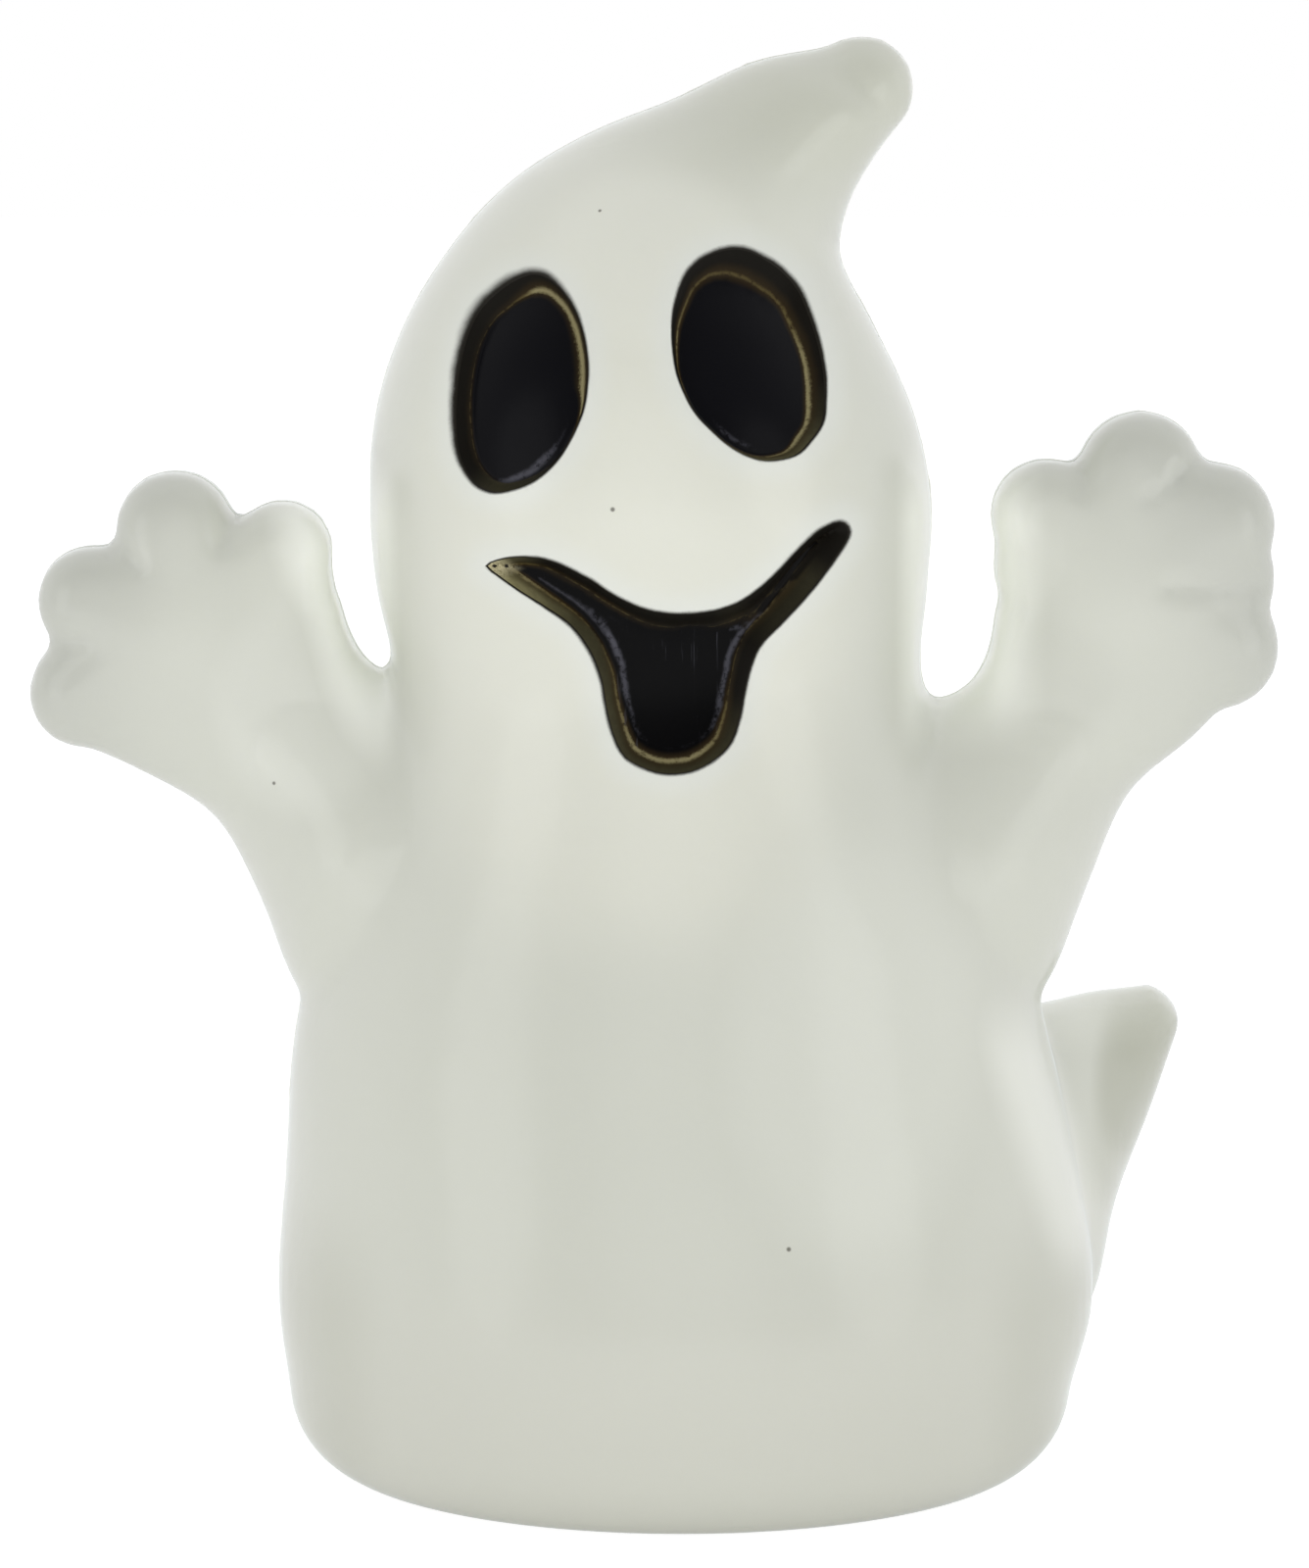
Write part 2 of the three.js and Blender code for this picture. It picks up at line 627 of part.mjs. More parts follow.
function basePlate() {
  const housingReach = knuckleRadius + runningGap;
  const housingTop = hingeHeight + housingReach + housingWall;
  const [hingeX] = hingeAxis;
  const pinReach = knuckleLength / 2 + pinLength + runningGap;
  const bossTop = tabTop + gap + doorScrewBite + doorScrewPlay + housingWall;
  const plate = join(
    post(flangeRadius, [plateUnderside, plateTop], [0, 0], 48),
    post(hubRadius, [plateUnderside, hubTop], [0, 0], 48),
    block(spread(0, boxHalfLength + boxWall), spread(0, boxHalfWidth + boxWall), [plateUnderside, roofTop]),
    block(
      [hingeX - housingReach - housingWall, -boxHalfLength],
      spread(0, pinReach + housingWall),
      [plateUnderside, housingTop],
    ),
    post(tabRadius + gap, [plateUnderside, bossTop], [tabCentre, 0]),
    ...[-1, 1].map((side) => post(boardPostRadius, [roofTop - 1, roofTop + boardPostHeight],
      [side * boardPostPlace, 0], 14)),
    ...[-1, 1].map((side) => post(domeBossRadius, [roofTop - 1, domeBossTop], [side * domeEarPlace, 0], 14)),
  );
  const doorRoom = block(
    spread(0, doorHalfLength + gap),
    spread(0, doorHalfWidth + gap),
    [0, doorTop + gap],
  );
  const tabRoom = join(
    block([0, tabCentre], spread(0, tabRadius + gap), [0, tabTop + gap]),
    post(tabRadius + gap, [0, tabTop + gap], [tabCentre, 0]),
  );
  const knuckleRoom = block(
    [hingeX - hingeOffset - runningGap, -doorHalfLength],
    spread(0, knuckleLength / 2 + runningGap),
    [0, hingeHeight + housingReach],
  );
  const cellRoom = block(spread(0, boxHalfLength), spread(0, boxHalfWidth), [0, roofUnderside]);
  const tagSlots = [contactPositive, contactNegative].map(({ side, y }) => block(
    [contactFace - gap, boxHalfLength].map((x) => side * x).sort((a, b) => a - b),
    spread(y, tagWidth / 2 + gap),
    [roofUnderside - 1, roofTop + 1],
  ));
  return cut(
    plate,
    doorRoom,
    tabRoom,
    knuckleRoom,
    cellRoom,
    barY(pinRadius + runningGap, spread(0, pinReach), hingeAxis, 16),
    post(doorScrewShank + doorScrewPlay, [0, bossTop - housingWall], [tabCentre, 0], 14),
    ...tagSlots,
    block(spread(0, wellLength / 2), spread(switchPlace, wellWidth / 2), [0, plateUnderside + wellDepth]),
    block(
      spread(0, (thumbLength + sliderTravel) / 2 + runningGap),
      spread(switchPlace, thumbWidth / 2 + runningGap),
      [0, hubTop + 1],
    ),
    ...[-1, 1].map((side) => post(screwPilot, [plateUnderside + 0.8, hubTop + 1],
      [side * earScrewPlace, switchPlace], 12)),
    ...[-1, 1].map((side) => post(screwPilot, [roofTop + 0.4, roofTop + boardPostHeight + 1],
      [side * boardPostPlace, 0], 12)),
    ...[-1, 1].map((side) => post(screwPilot, [roofTop + 0.4, domeBossTop + 1], [side * domeEarPlace, 0], 12)),
    ...screwAngles.map((_, i) => post(baseScrewShank + gap, [0, plateTop + 1], baseScrewPlace(i), 12)),
  );
}

function batteryDoor() {
  const [hingeX, hingeZ] = hingeAxis;
  const profile = new THREE.Shape([
    new Vector2(-doorHalfLength, plateUnderside),
    new Vector2(doorHalfLength, plateUnderside),
    new Vector2(doorHalfLength, doorTop),
    new Vector2(doorChamfer - doorHalfLength, doorTop),
  ]);
  const slab = new THREE.ExtrudeGeometry(profile, { depth: 2 * doorHalfWidth, bevelEnabled: false });
  slab.rotateX(Math.PI / 2);
  slab.translate(0, doorHalfWidth, 0);
  const halfKnuckle = knuckleLength / 2;
  return cut(
    join(
      solid(slab),
      block([hingeX, doorChamfer - doorHalfLength + 1], spread(0, halfKnuckle), [plateUnderside, doorTop]),
      block([hingeX - 0.8, hingeX + 1], spread(0, halfKnuckle), [plateUnderside, hingeZ]),
      barY(knuckleRadius, spread(0, halfKnuckle), hingeAxis),
      barY(pinRadius, spread(0, halfKnuckle + pinLength), hingeAxis, 12),
      block([doorHalfLength - 1, tabCentre], spread(0, tabRadius), [plateUnderside, tabTop]),
      post(tabRadius, [plateUnderside, tabTop], [tabCentre, 0]),
      ...[-1, 1].map((side) => block(
        spread(side * ribPlace, ribWidth / 2),
        spread(0, cellSpacing + cellRadius - 1),
        [doorTop - tiny, doorTop + ribHeight],
      )),
    ),
    post(doorScrewHead + gap, [0, cupFloor], [tabCentre, 0]),
    post(doorScrewShank + gap, [0, tabTop + 1], [tabCentre, 0], 14),
  );
}

function battery({ y, nub }) {
  const can = [springEnd, nubEnd - cellNubLength].map((x) => nub * x).sort((a, b) => a - b);
  const button = [nubEnd - cellNubLength - tiny, nubEnd].map((x) => nub * x).sort((a, b) => a - b);
  return join(barX(cellRadius, can, [y, cellAxis], 24), barX(cellNubRadius, button, [y, cellAxis], 12));
}

// Contacts: thin plates in the compartment's ends, with a tag through the roof where a wire starts
const tagWidth = 3;
const tagTop = wireHeight + 1;
const contactHalfHeight = 3.8;
const contactHalfWidth = 4.6;
const contactPositive = { side: 1, y: -cellSpacing };
const contactNegative = { side: -1, y: cellSpacing };

function contactPlate(side, [y0, y1]) {
  return block(
    [contactFace, contactFace + contactThickness].map((x) => side * x).sort((a, b) => a - b),
    [y0 - contactHalfWidth, y1 + contactHalfWidth],
    spread(cellAxis, contactHalfHeight),
  );
}

function taggedContact({ side, y }) {
  const tag = block(
    [contactFace, contactFace + contactThickness].map((x) => side * x).sort((a, b) => a - b),
    spread(y, tagWidth / 2),
    [cellAxis, tagTop],
  );
  return join(contactPlate(side, [y, y]), tag);
}

// A coil spring from a contact to a cell's flat end, one turn closing after the other towards the cell
function contactSpring({ y, nub }) {
  const turnPoints = 8;
  const sectionSides = 5;
  const coilRadius = [3.6, 2.4];
  const points = Math.round(springTurns * turnPoints);
  const start = -(contactFace - gap) + springWire / 2;
  const rise = springLength - springWire;
  const spot = (k) => {
    const t = THREE.MathUtils.clamp(k / points, 0, 1);
    const angle = (2 * Math.PI * k) / turnPoints;
    const radius = THREE.MathUtils.lerp(...coilRadius, t);
    return new Vector3(nub * (start + rise * t), y + radius * Math.cos(angle), cellAxis + radius * Math.sin(angle));
  };
  const rings = Array.from({ length: points + 1 }, (_, k) => {
    const along = spot(k + 0.5).sub(spot(k - 0.5)).normalize();
    const outward = new Vector3(0, spot(k).y - y, spot(k).z - cellAxis).normalize();
    const aside = along.clone().cross(outward).normalize();
    return Array.from({ length: sectionSides }, (_, s) => {
      const angle = (2 * Math.PI * s) / sectionSides;
      return spot(k).addScaledVector(outward, (springWire / 2) * Math.cos(angle))
        .addScaledVector(aside, (springWire / 2) * Math.sin(angle));
    });
  });
  return skin(rings);
}

// Slide switch

function switchBody() {
  const [y0, y1] = spread(switchPlace, switchWidth / 2);
  const body = join(
    block(spread(0, switchLength / 2), [y0, y1], [earUnderside, switchTop]),
    block(spread(0, switchLength / 2 + earLength), spread(switchPlace, 3), [earUnderside, earUnderside + earThickness]),
  );
  return cut(
    body,
    block(
      spread(0, (sliderLength + sliderTravel) / 2 + runningGap),
      spread(switchPlace, switchWidth / 2 - switchWall),
      [hubTop, earUnderside + sliderHeight + runningGap],
    ),
    ...[-1, 1].map((side) => post(screwShank + gap, [hubTop, earUnderside + earThickness + 1],
      [side * earScrewPlace, switchPlace], 12)),
  );
}

// The slider at rest is off, at the end of its travel
function switchSlider() {
  const centre = -sliderTravel / 2;
  const halfWidth = switchWidth / 2 - switchWall - runningGap;
  const thumbUnderside = plateUnderside + 0.3;
  return join(
    block(spread(centre, sliderLength / 2), spread(switchPlace, halfWidth), [earUnderside, earUnderside + sliderHeight]),
    block(spread(centre, thumbLength / 2), spread(switchPlace, thumbWidth / 2), [thumbUnderside, earUnderside + 1]),
  );
}

function switchTerminal(x) {
  return block(spread(x, 0.8), spread(switchPlace, 0.4), [switchTop + gap, switchTop + gap + terminalHeight]);
}

// Lamp board

function ledBoard() {
  return cut(
    post(boardRadius, [boardUnderside, boardTop], [0, 0], 32),
    ...[-1, 1].map((side) => post(screwShank + gap, [0, boardTop + 1], [side * boardPostPlace, 0], 12)),
  );
}

function led([x, y]) {
  const bottom = boardTop + gap;
  const shoulder = bottom + ledHeight - ledRadius;
  const round = [60, 30].map((turn) => {
    const angle = THREE.MathUtils.degToRad(90 - turn);
    return [ledRadius * Math.cos(angle), shoulder + ledRadius * Math.sin(angle)];
  });
  return turned([
    [0, bottom], [ledRadius + 0.4, bottom], [ledRadius + 0.4, bottom + 1], [ledRadius, bottom + 1],
    [ledRadius, shoulder], ...round, [0, bottom + ledHeight],
  ], [x, y], 16);
}

function resistor([x, y]) {
  const axis = boardTop + gap + 1.3;
  const lead = (side) => block(spread(x + side * 3.6, 0.3), spread(y, 0.3), [boardTop + gap, axis + 0.3]);
  return join(
    barX(1, spread(x, 2.8), [y, axis], 12),
    block(spread(x, 3.9), spread(y, 0.3), spread(axis, 0.3)),
    lead(-1),
    lead(1),
  );
}

function timerChip([x, y]) {
  const bottom = boardTop + gap;
  const legs = [-1, 1].flatMap((side) => [-1, 0, 1].map((step) => block(
    spread(x + 1.27 * step, 0.2),
    [y + side * 1.5, y + side * 2.8].sort((a, b) => a - b),
    [bottom, bottom + 0.6],
  )));
  return join(block(spread(x, 2.4), spread(y, 1.9), [bottom + 0.2, bottom + 1.7]), ...legs);
}

function lightDome() {
  const shoulder = skirtUnderside + domeSkirt;
  const rise = domeHeight - domeSkirt;
  const shade = (inset, bottom) => {
    const arc = [0, 18, 36, 54, 72].map((turn) => {
      const angle = THREE.MathUtils.degToRad(turn);
      return [(domeRadius - inset) * Math.cos(angle), shoulder + (rise - inset) * Math.sin(angle)];
    });
    return turned([
      [0, bottom], [domeRadius - inset, bottom], ...arc, [0, shoulder + rise - inset],
    ], [0, 0], 28);
  };
  const earUndersideZ = domeBossTop + gap;
  const ears = [-1, 1].map((side) => join(
    block(
      [side * (domeRadius - domeWall / 2), side * domeEarPlace].sort((a, b) => a - b),
      spread(0, domeEarWidth / 2),
      [earUndersideZ, earUndersideZ + domeEarThickness],
    ),
    post(domeEarWidth / 2, [earUndersideZ, earUndersideZ + domeEarThickness], [side * domeEarPlace, 0], 16),
  ));
  const holes = [-1, 1].map((side) => post(screwShank + gap, [0, earUndersideZ + 3], [side * domeEarPlace, 0], 12));
  const notches = wireRoutes.filter(({ notch }) => notch).map(({ notch: [x, y] }) => {
    const geometry = new THREE.BoxGeometry(3 * domeWall, notchWidth, notchWidth + 2);
    geometry.rotateZ(Math.atan2(y, x));
    const middle = new Vector2(x, y).setLength(domeRadius - domeWall / 2);
    geometry.translate(middle.x, middle.y, skirtUnderside - 1 + notchWidth / 2);
    return solid(geometry);
  });
  const hollow = shade(domeWall, skirtUnderside - 1);
  return cut(join(shade(0, skirtUnderside), ...ears), hollow, ...holes, ...notches);
}

// Wires run from a contact or a switch terminal, through a notch in the dome's skirt, to the board's underside
const wireEnd = boardUnderside - gap;
const terminalTop = switchTop + gap + terminalHeight + gap;
const tagFace = contactFace - gap;
const wireRoutes = [
  {
    name: 'wire_red',
    color: 0xb3261e,
    notch: [15.2, -7.6],
    route: [
      [tagFace, -cellSpacing, wireHeight], [22, -10.8, wireHeight], [18.5, -9.3, wireHeight],
      [15.2, -7.6, wireHeight], [11.5, -6, wireHeight], [9.4, -5.2, wireHeight + 0.3], [8.8, -5, wireEnd],
    ],
  },
  {
    name: 'wire_black',
    color: 0x1c1c1e,
    notch: null,
    route: [
      [-tagFace, cellSpacing, wireHeight], [-22, 11.8, wireHeight], [-20.5, 14.5, wireHeight],
      [-19.5, 18, wireHeight], [-17.5, 21.6, 17.2], [-13, 25.6, 16.4], [-7.6, 29, 16.8],
      [-terminalSpacing - 0.8, switchPlace, 16.6], [-terminalSpacing, switchPlace, terminalTop],
    ],
  },
  {
    name: 'wire_link',
    color: 0xd9d7cf,
    notch: [5.8, 16.2],
    route: [
      [0, switchPlace, terminalTop], [0.2, switchPlace - 0.4, 16.4], [1.6, 27, 18], [3.8, 22.6, 18.4],
      [5.2, 18.8, wireHeight], [5.8, 16.2, wireHeight], [5.6, 12, wireHeight], [5, 9, wireHeight + 0.3],
      [4.9, 8.4, wireEnd],
    ],
  },
];

function wire(route) {
  const path = new THREE.CatmullRomCurve3(route.map((point) => new Vector3(...point)), false, 'centripetal');
  const section = Array.from({ length: 8 }, (_, k) => {
    const angle = (2 * Math.PI * (k + 0.5)) / 8;
    return new Vector2(wireRadius * Math.cos(angle), wireRadius * Math.sin(angle));
  });
  const steps = Math.round(path.getLength() / (2.4 * wireRadius));
  return solid(new THREE.ExtrudeGeometry(new THREE.Shape(section), { steps, extrudePath: path }));
}

// Materials

function material(color, roughness, metalness = 0, extra = {}) {
  return new THREE.MeshStandardMaterial({ color, roughness, metalness, ...extra });
}

const milkyPlastic = material(0xd9dbce, 0.45);
const blackEnamel = material(0x15130f, 0.18);
const whitePlastic = material(0xe6e6de, 0.5);
const blackPlastic = material(0x1f1f21, 0.5);
const frostedPlastic = material(0xf2f1e8, 0.6, 0, { transparent: true, opacity: 0.7 });
const screwSteel = material(0xa9abab, 0.35, 1);
const nickelPlate = material(0xc9c6bd, 0.28, 1);
const cellWrap = material(0x3c6e63, 0.3);
const boardLacquer = material(0x2c6a45, 0.4);
const ledEpoxy = material(0xf3efd8, 0.15);
const resistorBody = material(0xcfb98a, 0.5);

// Assembly

const lamp = new THREE.Group();

function piece(name, shape, look) {
  const { vertProperties, triVerts } = shape.getMesh();
  const geometry = new THREE.BufferGeometry();
  geometry.setAttribute('position', new THREE.BufferAttribute(vertProperties, 3));
  geometry.setIndex(new THREE.BufferAttribute(triVerts, 1));
  const mesh = new THREE.Mesh(geometry, look);
  mesh.name = name;
  lamp.add(mesh);
}

function smallScrew(place, bearing) {
  const length = boardThickness + gap + 2.2;
  return screw({
    shank: screwShank, head: screwHead, headHeight: screwHeadHeight, length, bearing, place, up: false, turn: 20,
  });
}

piece('ghost_shell', ghostShell(), milkyPlastic);
for (const [name, outline] of Object.entries(faceOutlines)) {
  piece(`${name}_enamel`, enamel(outline), blackEnamel);
}

piece('base_plate', basePlate(), whitePlastic);
screwAngles.forEach((angle, i) => {
  piece(`base_screw_${i + 1}`, screw({
    shank: baseScrewShank,
    head: baseScrewHead,
    headHeight: screwHeadHeight,
    length: baseScrewLength,
    bearing: plateUnderside - gap,
    place: baseScrewPlace(i),
    turn: angle - 12,
  }), screwSteel);
});
piece('battery_door', batteryDoor(), whitePlastic);
piece('door_screw', screw({
  shank: doorScrewShank,
  head: doorScrewHead,
  headHeight: screwHeadHeight,
  length: tabTop + gap + doorScrewBite - (cupFloor - gap),
  bearing: cupFloor - gap,
  place: [tabCentre, 0],
  turn: 30,
}), screwSteel);

cells.forEach((cell, i) => {
  piece(`battery_${i + 1}`, battery(cell), cellWrap);
  piece(`contact_spring_${i + 1}`, contactSpring(cell), nickelPlate);
});
piece('contact_positive', taggedContact(contactPositive), nickelPlate);
piece('contact_negative', taggedContact(contactNegative), nickelPlate);
piece('contact_link_left', contactPlate(-1, [-cellSpacing, 0]), nickelPlate);
piece('contact_link_right', contactPlate(1, [0, cellSpacing]), nickelPlate);

piece('switch_body', switchBody(), blackPlastic);
piece('switch_slider', switchSlider(), blackPlastic);
[-1, 0, 1].forEach((side, i) => {
  piece(`switch_terminal_${i + 1}`, switchTerminal(side * terminalSpacing), nickelPlate);
});
[-1, 1].forEach((side, i) => {
  const number = i + 1;
  const earBearing = earUnderside + earThickness + gap;
  piece(`switch_screw_${number}`, smallScrew([side * earScrewPlace, switchPlace], earBearing), screwSteel);
  piece(`board_screw_${number}`, smallScrew([side * boardPostPlace, 0], boardTop + gap), screwSteel);
  const domeBearing = domeBossTop + gap + domeEarThickness + gap;
  piece(`dome_screw_${number}`, smallScrew([side * domeEarPlace, 0], domeBearing), screwSteel);
});

piece('led_board', ledBoard(), boardLacquer);
[90, 210, 330].forEach((angle, i) => piece(`led_${i + 1}`, led(onCircle(ledCircle, angle)), ledEpoxy));
piece('resistor', resistor([-7.6, 5.2]), resistorBody);
piece('timer_chip', timerChip([0, -0.6]), blackPlastic);
piece('light_dome', lightDome(), frostedPlastic);
wireRoutes.forEach(({ name, color, route }) => piece(name, wire(route), material(color, 0.5)));

// The finished lamp's origin is the middle of its own footprint, on the table
const box = new THREE.Box3().setFromObject(lamp);
const middle = box.getCenter(new Vector3());
lamp.position.set(-middle.x, -middle.y, 0);
const assembly = new THREE.Group();
assembly.add(lamp);

export default assembly;
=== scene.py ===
import json
import math
import random

import bmesh
import bpy
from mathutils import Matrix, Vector, kdtree
from mathutils.bvhtree import BVHTree
from mathutils.geometry import delaunay_2d_cdt

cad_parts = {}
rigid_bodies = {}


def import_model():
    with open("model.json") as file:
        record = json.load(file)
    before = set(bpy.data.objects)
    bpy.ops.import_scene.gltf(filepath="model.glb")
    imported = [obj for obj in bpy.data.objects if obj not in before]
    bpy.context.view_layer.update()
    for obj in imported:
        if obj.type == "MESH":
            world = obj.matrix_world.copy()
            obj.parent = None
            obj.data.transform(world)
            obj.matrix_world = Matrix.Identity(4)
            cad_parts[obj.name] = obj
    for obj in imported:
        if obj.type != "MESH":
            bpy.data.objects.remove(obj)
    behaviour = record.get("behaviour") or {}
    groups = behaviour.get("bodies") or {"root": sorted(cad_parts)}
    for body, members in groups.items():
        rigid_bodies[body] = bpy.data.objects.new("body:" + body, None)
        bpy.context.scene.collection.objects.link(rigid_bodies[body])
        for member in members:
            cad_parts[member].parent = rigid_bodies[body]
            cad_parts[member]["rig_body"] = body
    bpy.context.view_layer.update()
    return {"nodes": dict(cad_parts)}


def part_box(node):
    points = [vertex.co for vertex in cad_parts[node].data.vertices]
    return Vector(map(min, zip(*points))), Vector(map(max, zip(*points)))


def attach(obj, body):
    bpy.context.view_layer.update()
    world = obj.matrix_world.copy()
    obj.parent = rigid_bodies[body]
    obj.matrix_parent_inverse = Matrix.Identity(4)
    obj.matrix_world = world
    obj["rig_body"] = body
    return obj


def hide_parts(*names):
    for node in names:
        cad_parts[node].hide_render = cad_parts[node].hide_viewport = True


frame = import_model()
nodes = frame["nodes"]
mm = 0.001
tiny = 1e-4  # a gap that counts as none
axisX = sum(corner.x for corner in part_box("light_dome")) / 2  # the base unit's upright axis
print("frame loaded:", len(nodes), "nodes")


def pickOnly(*objects):
    bpy.ops.object.select_all(action="DESELECT")
    for each in objects:
        each.select_set(True)
    bpy.context.view_layer.objects.active = objects[0]


def editAll(piece):
    pickOnly(piece)
    bpy.ops.object.mode_set(mode="EDIT")
    bpy.ops.mesh.select_all(action="SELECT")


def shadeSmooth(piece, sharpFrom):  # edges that turn by more than this many degrees stay sharp
    pickOnly(piece)
    bpy.ops.object.shade_smooth_by_angle(angle=math.radians(sharpFrom))


def finishWith(piece, kind, **settings):
    pickOnly(piece)
    modifier = piece.modifiers.new(kind.title(), kind)
    for name, value in settings.items():
        setattr(modifier, name, value)
    bpy.ops.object.modifier_apply(modifier=modifier.name)


def joined(name, pieces):
    pickOnly(*pieces)
    if len(pieces) > 1:
        bpy.ops.object.join()
    piece = bpy.context.object
    piece.name = piece.data.name = name
    return piece


def settle(piece):  # puts the place and size of an object into its mesh
    pickOnly(piece)
    bpy.ops.object.transform_apply(location=True, rotation=True, scale=True)
    return piece


def remove(*objects):
    for each in objects:
        bpy.data.objects.remove(each)


def copyOf(piece, name):
    twin = piece.copy()
    twin.data = piece.data.copy()
    twin.name = twin.data.name = name
    bpy.context.scene.collection.objects.link(twin)
    return twin


def emptyMesh(name):  # left in edit mode
    bpy.ops.object.select_all(action="DESELECT")
    bpy.ops.mesh.primitive_circle_add(vertices=3, radius=1)
    piece = bpy.context.object
    piece.name = piece.data.name = name
    editAll(piece)
    bpy.ops.mesh.delete(type="VERT")
    return piece


view = {"lens": 139.5, "distance": 1.1, "elevation": 7.5, "aim": (-0.00009, 0, 0.1259), "nearest": 0.05}
room = {
    "front": 0.46,  # brightness of the air in front of the ghost, and behind it
    "back": 1.2,
    "turn": (-0.4, 0.6),  # between which the one passes into the other, from -1 in front to 1 behind
    "cameraSide": 0.12,  # what gloss shows of the camera's side, and between which that ends
    "glossTurn": (-0.75, 0.15),
    "floorSize": 12,
    "floorLight": 0.9,  # glow and grey for the camera
    "floorShade": 0.34,
    "floorGlow": 0.16,  # glow and grey for all other light
    "floorColour": 0.9,
}
lightsAim = (0, 0, 0.12)
lampLights = [
    {"name": "leftBox", "at": (-1.1, -0.9, 0.32), "size": 0.7, "power": 1.2, "mirrored": True},
    {"name": "rightBox", "at": (1.1, -0.9, 0.32), "size": 0.7, "power": 1.2, "mirrored": True},
    {"name": "frontBox", "at": (0, -1.7, 0.35), "size": 1.2, "power": 8.8, "mirrored": False},
]


def addCamera():
    lean = math.radians(view["elevation"])
    aim = Vector(view["aim"])
    back = Vector((0, -math.cos(lean), math.sin(lean)))
    bpy.ops.object.camera_add(location=aim + back * view["distance"], rotation=(math.pi / 2 - lean, 0, 0))
    camera = bpy.context.object
    camera.data.lens = view["lens"]
    camera.data.clip_start = view["nearest"]
    bpy.context.scene.camera = camera


def addLights():
    for light in lampLights:
        bpy.ops.object.light_add(type="AREA", location=light["at"])
        box = bpy.context.object
        box.name = light["name"]
        box.data.shape = "DISK"
        box.data.size = light["size"]
        box.data.energy = light["power"]
        box.visible_glossy = light["mirrored"]
        toGhost = Vector(lightsAim) - Vector(light["at"])
        box.rotation_euler = toGhost.to_track_quat("-Z", "Y").to_euler()


def operator(operation, turned=False):  # a method that sets one math node behind a socket
    def method(self, other=0.0):
        return self.math(operation, *((other, self) if turned else (self, other)))
    return method


class Wire:  # a shader socket that can be added, multiplied and compared
    def __init__(self, paint, socket):
        self.paint = paint
        self.socket = socket

    def math(self, operation, first, second):
        return self.paint.node("Math", {"operation": operation}, {0: first, 1: second})

    __add__ = __radd__ = operator("ADD")
    __mul__ = __rmul__ = operator("MULTIPLY")
    __sub__ = operator("SUBTRACT")
    __rsub__ = operator("SUBTRACT", turned=True)
    __truediv__ = operator("DIVIDE")
    __lt__ = operator("LESS_THAN")
    __gt__ = operator("GREATER_THAN")
    size = operator("ABSOLUTE")
    larger = operator("MAXIMUM")

    def rise(self, low, high):  # 0 below low, 1 above high, smooth between
        ends = {"From Min": low, "From Max": high}
        return self.paint.node("MapRange", {"interpolation_type": "SMOOTHSTEP"}, {"Value": self, **ends})

    def span(self, low, start, end, high):  # 0 below low, 1 from start to end, 0 above high
        return self.rise(low, start) * (1 - self.rise(end, high))


class Paint:  # the nodes of one material, or of the air around
    def __init__(self, name, kinds=bpy.data.materials):
        self.material = kinds.new(name)
        self.material.use_nodes = True
        self.tree = self.material.node_tree
        self.tree.nodes.clear()
        self.place = self.node("TexCoord", {}, {}, "Object")

    def node(self, kind, settings, sockets, output=0):
        made = self.tree.nodes.new("ShaderNode" + kind)
        for name, value in settings.items():
            if name == "stops":
                self.setStops(made.color_ramp, value)
            else:
                setattr(made, name, value)
        for name, value in sockets.items():
            if isinstance(value, Wire):
                self.tree.links.new(value.socket, made.inputs[name])
            else:
                made.inputs[name].default_value = value
        return Wire(self, made.outputs[output]) if made.outputs else None

    def setStops(self, ramp, stops):
        while len(ramp.elements) < len(stops):
            ramp.elements.new(0.5)
        for element, (place, value) in zip(ramp.elements, stops):
            element.position = place
            element.color = (value, value, value, 1)

    def inMm(self, startX=0):  # the place in millimetres, then its x and its z; x counts from startX metres
        place = self.node("VectorMath", {"operation": "ADD"}, {0: self.place, 1: (-startX, 0, 0)})
        place = self.node("VectorMath", {"operation": "SCALE"}, {0: place, "Scale": 1000})
        return place, *(self.node("SeparateXYZ", {}, {"Vector": place}, axis) for axis in ("X", "Z"))

    def noise(self, scale, detail=3.0, roughness=0.5, stretch=(1, 1, 1), at=(0, 0, 0)):
        spot = self.node("Mapping", {}, {"Vector": self.place, "Scale": stretch, "Location": at})
        sockets = {"Vector": spot, "Scale": scale, "Detail": detail, "Roughness": roughness}
        return self.node("TexNoise", {}, sockets, "Fac")

    def blend(self, share, first, second):
        return self.node("Mix", {"data_type": "RGBA"}, {0: share, 6: first, 7: second}, 2)

    def attribute(self, name):
        return self.node("Attribute", {"attribute_name": name}, {}, "Fac")

    def bump(self, height, strength, distance, under=None):
        sockets = {"Height": height, "Strength": strength, "Distance": distance}
        if under:
            sockets["Normal"] = under
        return self.node("Bump", {}, sockets)

    def surface(self, sockets):
        return self.finish(self.node("BsdfPrincipled", {}, sockets))

    def finish(self, shader):
        self.node("OutputMaterial", {}, {"Surface": shader})
        return self.material


def tone(red, green, blue):  # a colour as the eye sees it, 0 to 255, for the shader
    def straight(value):
        value /= 255
        return value / 12.92 if value <= 0.04045 else ((value + 0.055) / 1.055) ** 2.4
    return (straight(red), straight(green), straight(blue), 1)


